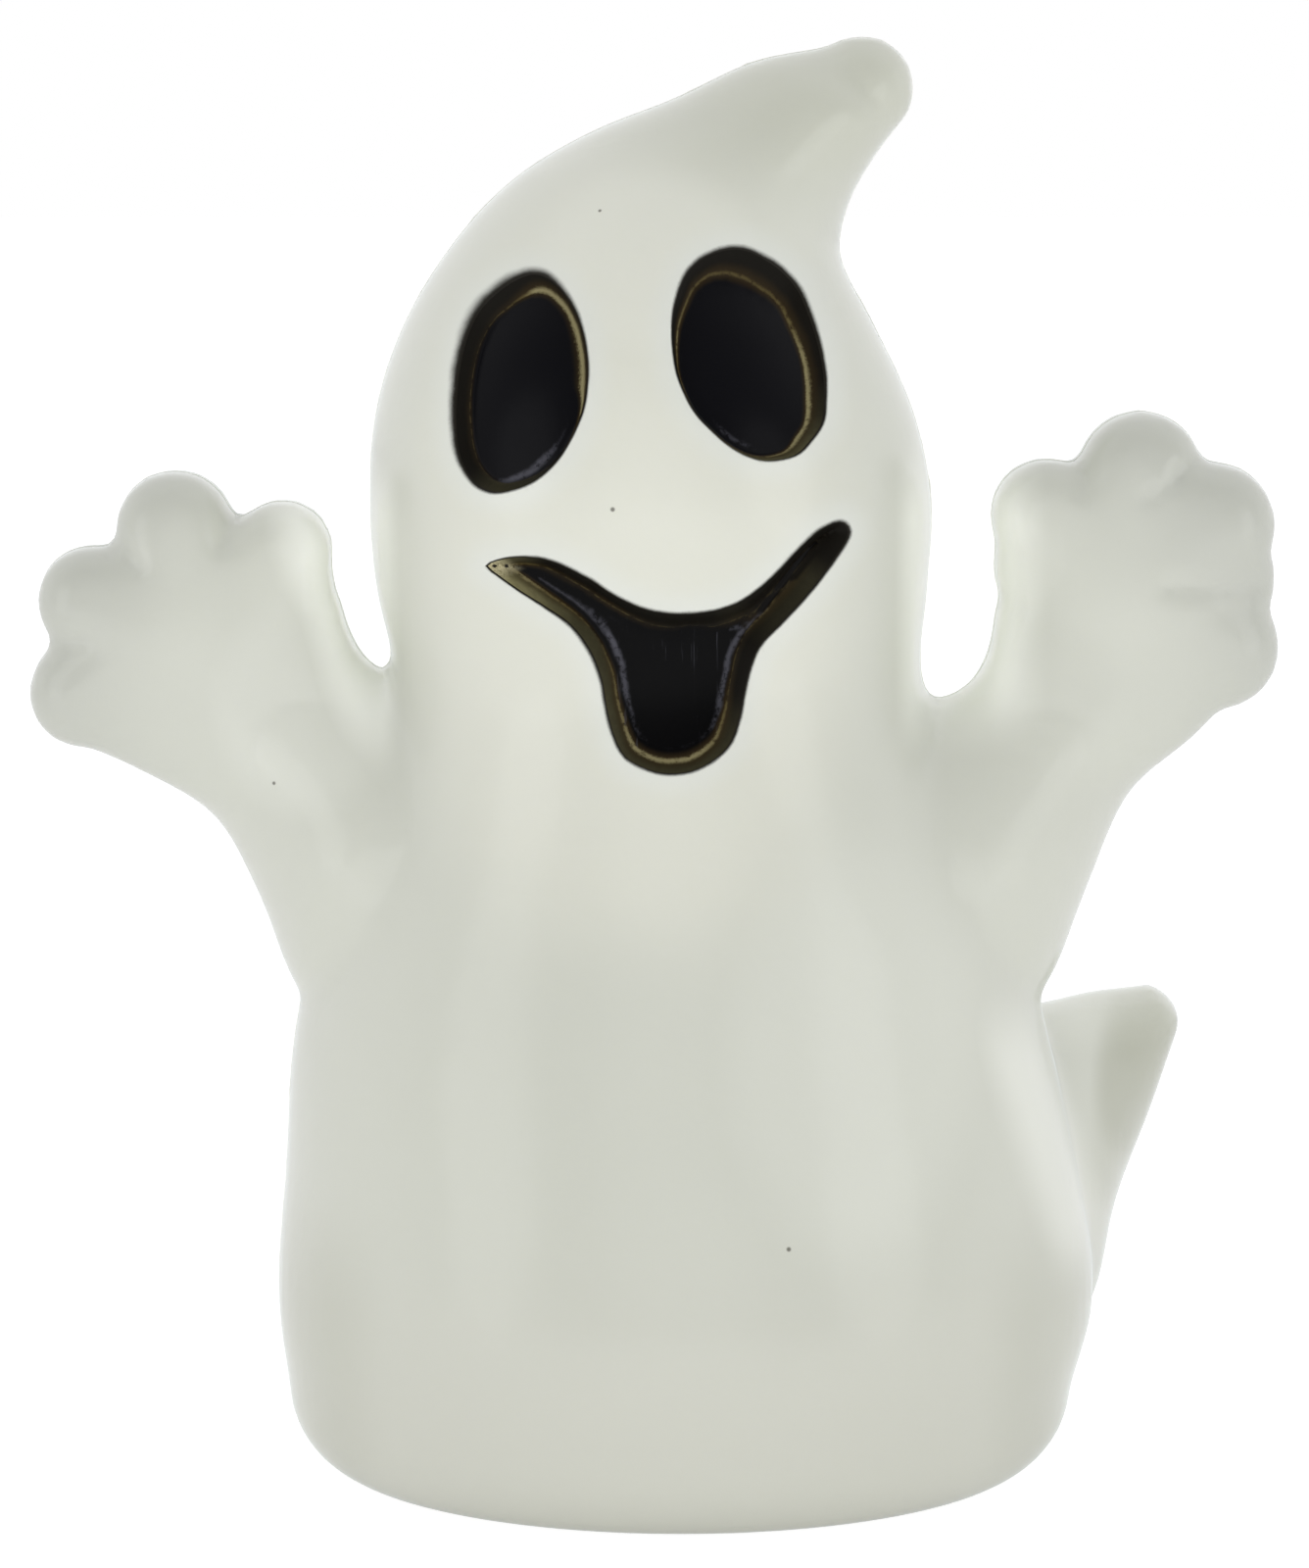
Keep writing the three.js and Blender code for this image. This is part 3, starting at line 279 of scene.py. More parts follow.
def addRoom():
    air = Paint("whiteRoom", bpy.data.worlds)
    world = bpy.context.scene.world = air.material
    way = air.node("TexCoord", {}, {}, "Generated")
    forwards = air.node("SeparateXYZ", {}, {"Vector": way}, "Y")
    mirrored = forwards.rise(*room["glossTurn"]) * (1 - room["cameraSide"]) + room["cameraSide"]
    camera = air.node("LightPath", {}, {}, "Is Camera Ray")
    clear = air.node("LightPath", {}, {}, "Is Transmission Ray")
    gloss = air.node("LightPath", {}, {}, "Is Glossy Ray")
    seen = camera.larger(clear)
    around = forwards.rise(*room["turn"]) * (room["back"] - room["front"]) + room["front"]
    level = seen.larger(gloss * mirrored).larger((1 - seen.larger(gloss)) * around)
    light = air.node("Background", {}, {"Color": (1, 1, 1, 1), "Strength": level})
    air.node("OutputWorld", {}, {"Surface": light})
    world.cycles.sampling_method = "NONE"  # else the rays that look for light don't know their kind


def addFloor():
    bpy.ops.mesh.primitive_plane_add(size=room["floorSize"], location=(0, 0, 0))
    floor = bpy.context.object
    floor.name = "floor"
    paint = Paint("whiteFloor")
    path = paint.node("LightPath", {}, {}, "Is Camera Ray")

    def lit(grey, strength):
        matte = paint.node("BsdfDiffuse", {}, {"Color": (grey, grey, grey, 1)})
        glow = paint.node("Emission", {}, {"Color": (1, 1, 1, 1), "Strength": strength})
        return paint.node("AddShader", {}, {0: matte, 1: glow})

    forOthers = lit(room["floorColour"], room["floorGlow"])
    forCamera = lit(room["floorShade"], room["floorLight"])
    surface = paint.node("MixShader", {}, {0: path, 1: forOthers, 2: forCamera})
    paint.node("OutputMaterial", {}, {"Surface": surface})
    floor.data.materials.append(paint.material)


addCamera()
addLights()
addRoom()
addFloor()
print("camera, light and floor")


# oval sections between two edge curves, in millimetres from the base unit's axis
ghost = {
    "voxel": 1.5,  # of the outer skin
    "innerVoxel": 3.2,
    "rings": (60, 72),  # sections along the trunk, and points round each
    "innerRings": (40, 48),
    "wall": 1.8,
    "footRadius": 16,
    # left x, left z, right x, right z, half depth, place along y
    "trunk": [
        (-71.8, 16, 71.2, 16, 66, 0), (-73.7, 32, 75.2, 32, 67, 0), (-72.1, 56, 72.2, 56, 63.5, 0),
        (-70.3, 81, 66.4, 81, 57.5, 0), (-64.3, 105, 60.4, 105, 51.5, 0), (-55.2, 129, 49.6, 129, 46, 0),
        (-51.9, 145.5, 43.2, 145.5, 44, 0), (-55, 161.5, 44.1, 161.5, 44.5, 0),
        (-56.1, 177.5, 44.8, 177.5, 45.5, 0), (-55, 193.4, 41.5, 193.4, 44.5, 0),
        (-49.8, 209.2, 34.2, 209.2, 40.5, 0), (-39.9, 224.9, 28.2, 221.1, 33.5, 0),
        (-29.5, 235.4, 28.7, 227.6, 28, 0), (-16, 243.4, 30.8, 233.3, 23, 0),
        (-1.1, 249.3, 34.4, 239.2, 18.5, 0), (12.8, 255.8, 38.5, 245, 14, 0),
        (26.2, 258.4, 37.7, 243.6, 10, 0),
    ],
    "leftArm": [
        (-58, 74, -38, 141, 30, 0), (-70.2, 89.5, -52.6, 145.9, 25.5, 0), (-76.4, 105.3, -57.3, 149, 21, 0),
        (-85.4, 121.2, -60.3, 154.5, 17, 0), (-99.5, 129.6, -62.8, 161.5, 14, 0),
        (-106.5, 132.6, -77, 166, 12, 0),
    ],
    "rightArm": [
        (31, 138, 50, 74, 30, 0), (46.6, 141.4, 65.6, 88.5, 25.5, 0), (52.3, 144.6, 73, 106.2, 21, 0),
        (55.5, 150.6, 81.3, 125.2, 17, 0), (57, 159, 95.5, 138.3, 14, 0), (66, 172, 98.5, 146, 12, 0),
    ],
    "tail": [
        (38, 74.5, 62, 15, 26, 17), (55, 80.2, 75.5, 26, 27, 18), (68, 81.6, 81, 45.5, 24, 24),
        (77, 82.4, 88, 61, 17, 32), (86.6, 82.5, 93.4, 75, 11, 37),
    ],
    # middle x, z, radius, half depth; then each finger's end x, z, radius, half depth
    "leftHand": [
        (-88, 153.2, 21.3, 14.5),
        (-72, 168.4, 9.1, 11.5), (-72.8, 161.8, 10.2, 11), (-91.2, 172.2, 10.7, 12.5),
        (-106.2, 159.6, 9.8, 12), (-107.6, 143, 10.1, 11.5),
    ],
    "rightHand": [
        (80.2, 159, 22, 14.5),
        (70, 166, 14, 11), (65.6, 174.8, 10.2, 12), (82.3, 182.4, 11.2, 12.5),
        (95.4, 173.2, 11.2, 12.5), (96.9, 163.5, 10, 8), (96.2, 151.3, 11.4, 12),
    ],
    "fingerRoot": 0.8,  # of the radius at its end
    "fingerSteps": 5,
    "footTurns": 8,  # rings of the foot's rounding
    "endTurns": (15, 30, 45, 58, 70, 80),  # rings of a round end, in degrees
    "tailEnd": 0.5,  # how round the tail's end is
}


def alongCurve(points, t, closed=False):  # a centripetal curve through the points, t from 0 to 1
    count = len(points)
    place = (count if closed else count - 1) * t
    start = int(place)
    weight = place - start
    if not closed and start == count - 1:
        start, weight = count - 2, 1
    second, third = points[start % count], points[(start + 1) % count]
    first = points[(start - 1) % count] if closed or start > 0 else 2 * points[0] - points[1]
    fourth = points[(start + 2) % count] if closed or start + 2 < count else 2 * points[-1] - points[-2]
    gaps = [(b - a).length ** 0.5 for a, b in ((first, second), (second, third), (third, fourth))]
    middle = gaps[1] if gaps[1] > tiny else 1
    before, after = (gap if gap > tiny else middle for gap in (gaps[0], gaps[2]))
    leave = (second - first) / before - (third - first) / (before + middle) + (third - second) / middle
    reach = (third - second) / middle - (fourth - second) / (middle + after) + (fourth - third) / after
    leave, reach = leave * middle, reach * middle
    square, cube = weight ** 2, weight ** 3
    bend = (3 * (third - second) - 2 * leave - reach) * square
    return second + leave * weight + bend + (2 * (second - third) + leave + reach) * cube


def sectionAt(sections, t, inset):  # an oval at t along a limb, its skin moved in by the inset
    left = alongCurve([Vector((s[0], 0, s[1])) for s in sections], t)
    right = alongCurve([Vector((s[2], 0, s[3])) for s in sections], t)
    width = alongCurve([Vector((10 * i, s[4], s[5])) for i, s in enumerate(sections)], t)
    across = right - left
    middle = (left + right) / 2
    middle.y = width.z
    return {
        "middle": middle,
        "across": across.normalized(),
        "half": across.length / 2 - inset,
        "depth": width.y - inset,
    }


def roundEnd(section, bulge=1):  # rings that close a limb, and its end point
    outward = Vector((-section["across"].z, 0, section["across"].x)) * section["half"] * bulge
    rings = []
    for degrees in ghost["endTurns"]:
        turn = math.radians(degrees)
        rings.append({
            **section,
            "middle": section["middle"] + outward * math.sin(turn),
            "half": section["half"] * math.cos(turn),
            "depth": section["depth"] * math.cos(turn),
        })
    return rings, section["middle"] + outward


def ringForm(name, rings, tip, sides):  # circles set one after the other and bridged
    form = emptyMesh(name)
    for ring in rings:
        across, half = ring["across"], ring["half"] * mm
        middle = ring["middle"] * mm + Vector((axisX, 0, 0))
        turn = (0, math.atan2(-across.z, across.x), 0)
        bpy.ops.mesh.select_all(action="DESELECT")
        bpy.ops.mesh.primitive_circle_add(vertices=sides, radius=half, location=middle, rotation=turn)
        bpy.ops.transform.resize(value=(1, ring["depth"] * mm / half, 1), center_override=middle)
    for step in range(len(rings) - 1):
        bpy.ops.mesh.select_all(action="DESELECT")
        shape = bmesh.from_edit_mesh(form.data)
        shape.verts.ensure_lookup_table()
        for i in range(step * sides, (step + 2) * sides):
            shape.verts[i].select = True
        shape.select_flush(True)
        bmesh.update_edit_mesh(form.data)
        bpy.ops.mesh.bridge_edge_loops()
    shape = bmesh.from_edit_mesh(form.data)
    shape.verts.ensure_lookup_table()
    last = len(rings) * sides - sides
    shape.faces.new([shape.verts[i] for i in range(sides)])
    lastRing = [shape.verts[last + i] for i in range(sides)]
    point = shape.verts.new((tip.x * mm + axisX, tip.y * mm, tip.z * mm))
    for i in range(sides):
        shape.faces.new((lastRing[i - 1], lastRing[i], point))
    bmesh.update_edit_mesh(form.data)
    bpy.ops.mesh.select_all(action="SELECT")
    bpy.ops.mesh.normals_make_consistent(inside=False)
    bpy.ops.object.mode_set(mode="OBJECT")
    return form


def limbForm(name, sections, inset, steps, sides):
    rings = [sectionAt(sections, k / steps, inset) for k in range(steps + 1)]
    end, tip = roundEnd(rings[-1], ghost["tailEnd"] if name == "tail" else 1)
    return ringForm(name, rings + end, tip, sides)


def trunkForm(name, inset, steps, sides):
    rings = []
    foot = sectionAt(ghost["trunk"], 0, 0)
    radius = ghost["footRadius"]
    for number in range(ghost["footTurns"]):
        angle = math.radians(90 * number / ghost["footTurns"])
        reach = radius - (radius - inset) * math.sin(angle)
        middle = Vector((foot["middle"].x, 0, radius - (radius - inset) * math.cos(angle)))
        half, depth = foot["half"] - reach, foot["depth"] - reach
        rings.append({**foot, "middle": middle, "half": half, "depth": depth})
    rings += [sectionAt(ghost["trunk"], k / steps, inset) for k in range(steps + 1)]
    end, tip = roundEnd(rings[-1])
    return ringForm(name, rings + end, tip, sides)


def handForm(name, hand, inset, sides):
    (x, z, radius, depth), *fingers = hand
    bpy.ops.object.select_all(action="DESELECT")
    bpy.ops.mesh.primitive_uv_sphere_add(
        segments=sides + 4,
        ring_count=sides // 2 + 2,
        radius=1,
        location=(x * mm + axisX, 0, z * mm),
        scale=((radius - inset) * mm, (depth - inset) * mm, (radius - inset) * mm),
    )
    forms = [settle(bpy.context.object)]
    for number, (endX, endZ, endRadius, endDepth) in enumerate(fingers):
        way = Vector((endX - x, 0, endZ - z)).normalized()
        aside = Vector((-way.z, 0, way.x))
        sections = []
        for spotX, spotZ, half in ((x, z, ghost["fingerRoot"] * endRadius), (endX, endZ, endRadius)):
            spot = Vector((spotX, 0, spotZ))
            left, right = spot + aside * half, spot - aside * half
            sections.append((left.x, left.z, right.x, right.z, endDepth, 0))
        forms.append(limbForm(f"{name}Finger{number}", sections, inset, ghost["fingerSteps"], sides))
    return forms


def ghostForm(name, inset, voxel, steps, sides):
    limbSides = max(12, sides // 2)
    forms = [trunkForm("trunk", inset, steps, sides)]
    for limb in ("leftArm", "rightArm", "tail"):
        forms.append(limbForm(limb, ghost[limb], inset, steps // 3, limbSides))
    for hand in ("leftHand", "rightHand"):
        forms += handForm(hand, ghost[hand], inset, limbSides)
    form = joined(name, forms)
    finishWith(form, "REMESH", mode="VOXEL", voxel_size=voxel * mm, adaptivity=0)
    return form


# The face: outlines in the front view, x and z in millimetres from the base unit's axis
face = {
    "leftEye": [
        (-26.4, 219.6), (-23.8, 219.1), (-21.2, 217), (-18.6, 213.2), (-17.2, 209.2), (-16.5, 204.5),
        (-16.6, 200.4), (-17.3, 196.5), (-19.2, 192), (-21.7, 188), (-25, 184.8), (-28.6, 182.9),
        (-32.7, 182), (-35.5, 182.8), (-37.9, 185.3), (-39.4, 189.1), (-39.9, 195.3), (-39.4, 202.3),
        (-38.1, 208.2), (-36, 212.8), (-33.1, 215.9), (-29.8, 218.3),
    ],
    "rightEye": [
        (8.2, 223.8), (11.3, 223.5), (14.7, 221.8), (17.8, 219.5), (20.4, 216.4), (22.4, 211.8),
        (23.8, 207.5), (24.8, 202.4), (24.9, 198.3), (24.4, 193.8), (22.4, 190.9), (19.7, 188.5),
        (14.5, 187.7), (11.1, 188.6), (7.7, 190.6), (4.8, 193.2), (2.4, 195.7), (0.4, 199),
        (-1.2, 203.2), (-1.9, 208.2), (-1.8, 212.5), (-0.7, 216.9), (1, 220.2), (3.9, 222.6),
    ],
    "mouth": [
        (-34.3, 169), (-31, 170.5), (-25.7, 170.9), (-21.9, 170), (-16.4, 167.4), (-11.4, 164.2), (-6, 162),
        (-0.6, 161.3), (4, 161.6), (8.6, 162.7), (12.7, 165), (16.8, 168.6), (20.5, 172.4), (24.2, 175.4),
        (27.8, 176.4), (29.1, 174.9), (28.6, 173.1), (26.5, 170), (22.3, 164.7), (16.8, 159), (13.6, 155.8),
        (11.9, 152.2), (10.7, 147.3), (9.8, 142.8), (8.1, 138.5), (5, 135.7), (1.3, 134), (-3.3, 133.7),
        (-6.8, 134.6), (-10.1, 136.5), (-12.1, 140.2), (-13.3, 144.6), (-14.3, 150.2), (-16.4, 155.2),
        (-19.6, 159.3), (-24.2, 162.4), (-28.8, 165.1), (-32.4, 167.5),
    ],
    # distance in from the rim, depth below the skin
    "wall": [(-0.7, -0.35), (-0.35, 0), (0, 0.22), (0.35, 0.75), (0.9, 1.75), (1.5, 2.8), (1.9, 3.3),
             (2.4, 3.4)],
    # degrees round the middle, and how much steeper than that the wall falls
    "steepness": {
        "leftEye": [(0, 1.3), (35, 1.3), (60, 1.5), (80, 1.2), (110, 1.4), (130, 1.9), (150, 2.2),
                    (190, 2.4), (215, 1.8), (250, 1.2), (280, 1.6), (310, 2.4), (340, 1.9), (360, 1.3)],
        "rightEye": [(0, 1.5), (30, 1.1), (45, 1), (70, 0.7), (90, 0.6), (115, 0.75), (140, 0.95),
                     (160, 1.4), (180, 1.9), (215, 2.5), (285, 2.4), (305, 1.5), (330, 1.4), (360, 1.5)],
        "mouth": [(0, 0.8), (12, 0.7), (20, 0.6), (30, 0.85), (45, 0.75), (60, 0.7), (140, 0.7), (150, 0.8),
                  (158, 1.3), (175, 1.5), (190, 1.25), (225, 1.15), (240, 1), (270, 0.9), (300, 0.9),
                  (327, 0.95), (350, 0.82), (360, 0.8)],
    },
    "curveSteps": 2000,
    "fine": 0.1,  # gap between the places that a rim is measured by
    "spacing": 0.85,  # of the points along the rim
    "slack": 0.06,  # how far a ring's point may be off its distance from the rim
    "grid": 1.7,  # of the points on the floor
    "gridGap": 0.6,  # between rings and grid, in grid steps
    "frontPlane": -0.11,  # metres
    "front": -12,  # y in millimetres that the face lies in front of
    "zone": (120, 235),  # and its z
}
recesses = {"leftEye": "left_eye_enamel", "rightEye": "right_eye_enamel", "mouth": "mouth_enamel"}


def between(pairs, value):  # straight-line reading of a table of pairs
    if value <= pairs[0][0]:
        return pairs[0][1]
    for (low, start), (high, end) in zip(pairs, pairs[1:]):
        if value <= high:
            return start + (end - start) * (value - low) / (high - low)
    return pairs[-1][1]


class Rim:  # a recess's outline in the front view, and the distance to it
    def __init__(self, points):
        corners = [Vector((x, 0, z)) for x, z in points]
        steps = face["curveSteps"]
        rough = [alongCurve(corners, i / steps, True) for i in range(steps)]
        self.spots, carried = [rough[0]], 0
        for start, end in zip(rough, rough[1:]):
            carried += (end - start).length
            if carried >= face["fine"]:
                self.spots.append(end)
                carried = 0
        turn = sum(a.x * b.z - b.x * a.z for a, b in zip(self.spots, self.spots[1:]))
        self.outwards = []
        for i in range(len(self.spots)):
            along = (self.spots[(i + 3) % len(self.spots)] - self.spots[i - 3]).normalized()
            self.outwards.append(Vector((along.z, 0, -along.x)) * (1 if turn > 0 else -1))
        self.tree = kdtree.KDTree(len(self.spots))
        for i, spot in enumerate(self.spots):
            self.tree.insert(spot, i)
        self.tree.balance()
        self.middle = sum(self.spots, Vector()) / len(self.spots)

    def inside(self, spot):  # millimetres in from the rim, negative outside
        nearest, i, gap = self.tree.find(spot)
        return -gap if (spot - nearest).dot(self.outwards[i]) > 0 else gap

    def ring(self, level):  # points this far in from the rim
        step = round(face["spacing"] / face["fine"])
        picked = range(0, len(self.spots) - step // 2, step)
        moved = [self.spots[i] - self.outwards[i] * level for i in picked]
        return [spot for spot in moved if abs(self.inside(spot) - level) < face["slack"]]

    def bearing(self, spot):  # of the nearest place of the rim: degrees round the middle, 0 right, 90 up
        away = self.tree.find(spot)[0] - self.middle
        return math.degrees(math.atan2(away.z, away.x)) % 360


def surfaceReader(skin):  # for a place in the front view: a point and an outward normal of the skin
    shape = bmesh.new()
    shape.from_mesh(skin.data)
    tree = BVHTree.FromBMesh(shape)
    shape.free()

    def hit(x, z):
        found = tree.ray_cast(Vector((x * mm + axisX, face["frontPlane"], z * mm)), Vector((0, 1, 0)))[0]
        return found / mm

    def read(x, z, reach=1.5):
        left, right, low, high = hit(x - reach, z), hit(x + reach, z), hit(x, z - reach), hit(x, z + reach)
        normal = (high - low).cross(left - right).normalized()
        if normal.y > 0:
            normal = -normal
        return hit(x, z), normal
    return read


def reliefMesh(name, rim, read, levels, depthAt):  # the rim's area as a triangle mesh, at its depths
    steepness = next(pairs for part, pairs in face["steepness"].items() if name.startswith(part))
    rings = [rim.ring(level) for level in levels]
    spots = [spot for ring in rings for spot in ring]
    edges, start = [], 0
    for ring in rings:
        for i in range(len(ring)):
            if (ring[i] - ring[i - 1]).length < 2 * face["spacing"]:
                edges.append((start + i, start + (i - 1) % len(ring)))
        start += len(ring)
    xs, zs = [s.x for s in rings[0]], [s.z for s in rings[0]]
    step = face["grid"]
    for row in range(int((max(zs) - min(zs)) / step) + 1):
        for column in range(int((max(xs) - min(xs)) / step) + 1):
            offset = step / 2 if row % 2 else 0
            spot = Vector((min(xs) + column * step + offset, 0, min(zs) + row * step))
            if rim.inside(spot) > levels[-1] + face["gridGap"] * step:
                spots.append(spot)
    flat = [Vector((spot.x, spot.z)) for spot in spots]
    made = delaunay_2d_cdt(flat, edges, [list(range(len(rings[0])))], 1, tiny)
    points, distances = [], []
    for spot in made[0]:
        spot = Vector((spot.x, 0, spot.y))
        distance = rim.inside(spot)
        distance *= between(steepness, rim.bearing(spot)) if distance > 0 else 1
        place, normal = read(spot.x, spot.z)
        points.append((place - normal * depthAt(distance)) * mm)
        distances.append(distance)
    mesh = bpy.data.meshes.new(name)
    mesh.from_pydata(points, [], made[2])
    mesh.attributes.new("rimDistance", "FLOAT", "POINT").data.foreach_set("value", distances)
    relief = bpy.data.objects.new(name, mesh)
    bpy.context.scene.collection.objects.link(relief)
    return relief


def plugForm(name, rim, read, levels, depthAt):  # closed forwards, to cut a recess
    plug = reliefMesh(name, rim, read, levels, depthAt)
    editAll(plug)
    bpy.ops.mesh.region_to_loop()
    forwards = {"value": (0, -0.03, 0)}  # the next step puts it on the front plane
    bpy.ops.mesh.extrude_edges_move(TRANSFORM_OT_translate=forwards)
    bpy.ops.transform.resize(value=(1, 0, 1), center_override=(0, face["frontPlane"], 0))
    bpy.ops.mesh.edge_face_add()
    bpy.ops.mesh.select_all(action="SELECT")
    bpy.ops.mesh.normals_make_consistent(inside=False)
    bpy.ops.object.mode_set(mode="OBJECT")
    return plug


shaping = {
    "even": 8,  # rounds of smoothing all over
    "blendRounds": 160,
    # where limbs and body are drawn out smooth: a line in the front view, its reach and strength
    "blends": [
        ((-47, 140), (-56, 84), 20, 1.0),
        ((40, 140), (50, 84), 20, 1.0),
        ((-93, 158), (-93, 158), 52, 1.0),
        ((85, 164), (85, 164), 54, 1.0),
        ((66, 66), (72, 26), 30, 1.0),
    ],
    # where the fronts and backs of the hands are pressed flat: a place in the front view
    "flats": [(-93, 158), (85, 164)],
    "flatInner": 30,  # fully flat up to here, and untouched from the next
    "flatOuter": 42,
    "flatDepth": 16,
    "flatPower": 0.52,  # the smaller, the flatter
    "handsFrom": (60, 140),  # x to either side, and z
    # folds between fingers: a line in the front view, its width and depth
    "creases": [
        ((71.5, 188), (71, 180), 1.5, 0.7),
        ((93.5, 188), (88.8, 182.8), 1.6, 0.9),
        ((88.8, 182.8), (83.5, 178.6), 1.6, 0.6),
        ((87, 162.9), (106, 162.9), 1.6, 0.55),
        ((-79.4, 178), (-81.5, 170.5), 1.7, 0.8),
        ((-102, 172.5), (-97.5, 166.5), 1.7, 0.8),
        ((-116, 153.3), (-107.5, 153.3), 1.7, 0.8),
    ],
}


def toLine(spot, start, end):  # distance in the front view
    start, end = Vector(start), Vector(end)
    along = end - start
    share = 0
    if along.length:
        share = min(1, max(0, (spot - start).dot(along) / along.length_squared))
    return (spot - start - along * share).length


def softStep(share):  # 0 to 1, level at both ends
    return share * share * (3 - 2 * share)


def weighByZones(piece, group, zones):
    for vertex in piece.data.vertices:
        spot = Vector((vertex.co.x - axisX, vertex.co.z)) / mm
        weight = 0
        for start, end, reach, strength in zones:
            near = max(0, 1 - toLine(spot, start, end) / reach)
            weight = max(weight, strength * softStep(near))
        if weight > 0.01:
            group.add([vertex.index], weight, "REPLACE")


def pressFlat(piece):  # gives the hands flat fronts and backs that turn quickly at the outline
    deepest = shaping["flatDepth"] * mm
    for vertex in piece.data.vertices:
        spot = Vector((vertex.co.x - axisX, vertex.co.z)) / mm
        depth = abs(vertex.co.y)
        gap = min((spot - Vector(flat)).length for flat in shaping["flats"])
        if gap < shaping["flatOuter"] and 0 < depth < deepest:
            near = min(1, (shaping["flatOuter"] - gap) / (shaping["flatOuter"] - shaping["flatInner"]))
            pressed = deepest * (depth / deepest) ** shaping["flatPower"]
            depth += (pressed - depth) * softStep(near)
            vertex.co.y = math.copysign(depth, vertex.co.y)


def pressCreases(skin):  # the folds between the fingers
    for vertex in skin.data.vertices:
        spot = Vector((vertex.co.x - axisX, vertex.co.z)) / mm
        if vertex.co.y < 0 and abs(spot.x) > shaping["handsFrom"][0] and spot.y > shaping["handsFrom"][1]:
            for start, end, width, depth in shaping["creases"]:
                vertex.co.y += depth * mm * math.exp(-((toLine(spot, start, end) / width) ** 2))


def drawOutSmooth(piece, rounds):  # rounds of smoothing between limbs and body
    finishWith(piece, "SMOOTH", factor=0.5, iterations=shaping["even"])
    group = piece.vertex_groups.new(name="blended")
    weighByZones(piece, group, shaping["blends"])
    onlyY = {"use_x": False, "use_z": False, "vertex_group": group.name}
    finishWith(piece, "SMOOTH", factor=0.5, iterations=rounds, **onlyY)
    piece.vertex_groups.clear()
    pressFlat(piece)
    for vertex in piece.data.vertices:  # the foot stays flat on the table
        vertex.co.z = max(0, vertex.co.z)


base = {  # the foot's opening, in millimetres
    "panelRadius": 43.5,
    "panelDepth": 4.6,
    "openingRadius": 37.2,
    "postTop": 6.4,
}


def drum(name, radius, low, high, sides=96):
    bpy.ops.object.select_all(action="DESELECT")
    bpy.ops.mesh.primitive_cylinder_add(
        vertices=sides,
        radius=radius * mm,
        depth=(high - low) * mm,
        location=(axisX, 0, (low + high) / 2 * mm),
    )
    piece = settle(bpy.context.object)
    piece.name = name
    return piece


def cutWith(piece, *tools):
    for tool in tools:
        finishWith(piece, "BOOLEAN", operation="DIFFERENCE", solver="MANIFOLD", object=tool)


def buildGhost():
    coarse = 1
    skin = ghostForm("ghostBody", 0, ghost["voxel"] * coarse, *ghost["rings"])
    drawOutSmooth(skin, round(shaping["blendRounds"] / coarse ** 2))
    pressCreases(skin)
    print("skin formed:", len(skin.data.polygons), "faces")
    read = surfaceReader(skin)
    rims = {name: Rim(face[name]) for name in recesses}
    levels = [level for level, depth in face["wall"]]
    plugs = [
        plugForm(name + "Plug", rim, read, levels, lambda distance: between(face["wall"], distance))
        for name, rim in rims.items()
    ]
    wall = ghost["wall"]
    inner = ghostForm("ghostInside", wall, ghost["innerVoxel"] * coarse, *ghost["innerRings"])
    drawOutSmooth(inner, round(shaping["blendRounds"] * (ghost["voxel"] / ghost["innerVoxel"]) ** 2))
    # the recesses from inside: as the face's wall, but a wall's thickness deeper
    innerWall = [(-2 * wall, -1), (-wall, 0.2), (0, 0.22 + 1.2 * wall), (1.5, 2.8 + 1.2 * wall),
                 (2.4, 3.4 + wall)]
    innerPlugs = [
        plugForm(name + "InnerPlug", rim, read, [pair[0] for pair in innerWall],
                 lambda distance: between(innerWall, distance))
        for name, rim in rims.items()
    ]
    # the drums that cut the foot open start below it
    post = drum("innerPost", base["panelRadius"] + wall, -5, base["postTop"], 64)
    cutWith(inner, *innerPlugs, post)
    editAll(inner)
    bpy.ops.mesh.flip_normals()
    bpy.ops.object.mode_set(mode="OBJECT")
    seamSource = copyOf(skin, "seamSource")
    skin = joined("ghostBody", [skin, inner])
    panel = drum("panelCut", base["panelRadius"], -1, base["panelDepth"])
    opening = drum("openingCut", base["openingRadius"], -1, base["postTop"] + 1)
    cutWith(skin, *plugs, panel, opening)
    remove(*plugs, *innerPlugs, post, panel, opening)
    shadeSmooth(skin, 34)
    print("ghost body:", len(skin.data.polygons), "faces")
    return skin, read, rims, seamSource


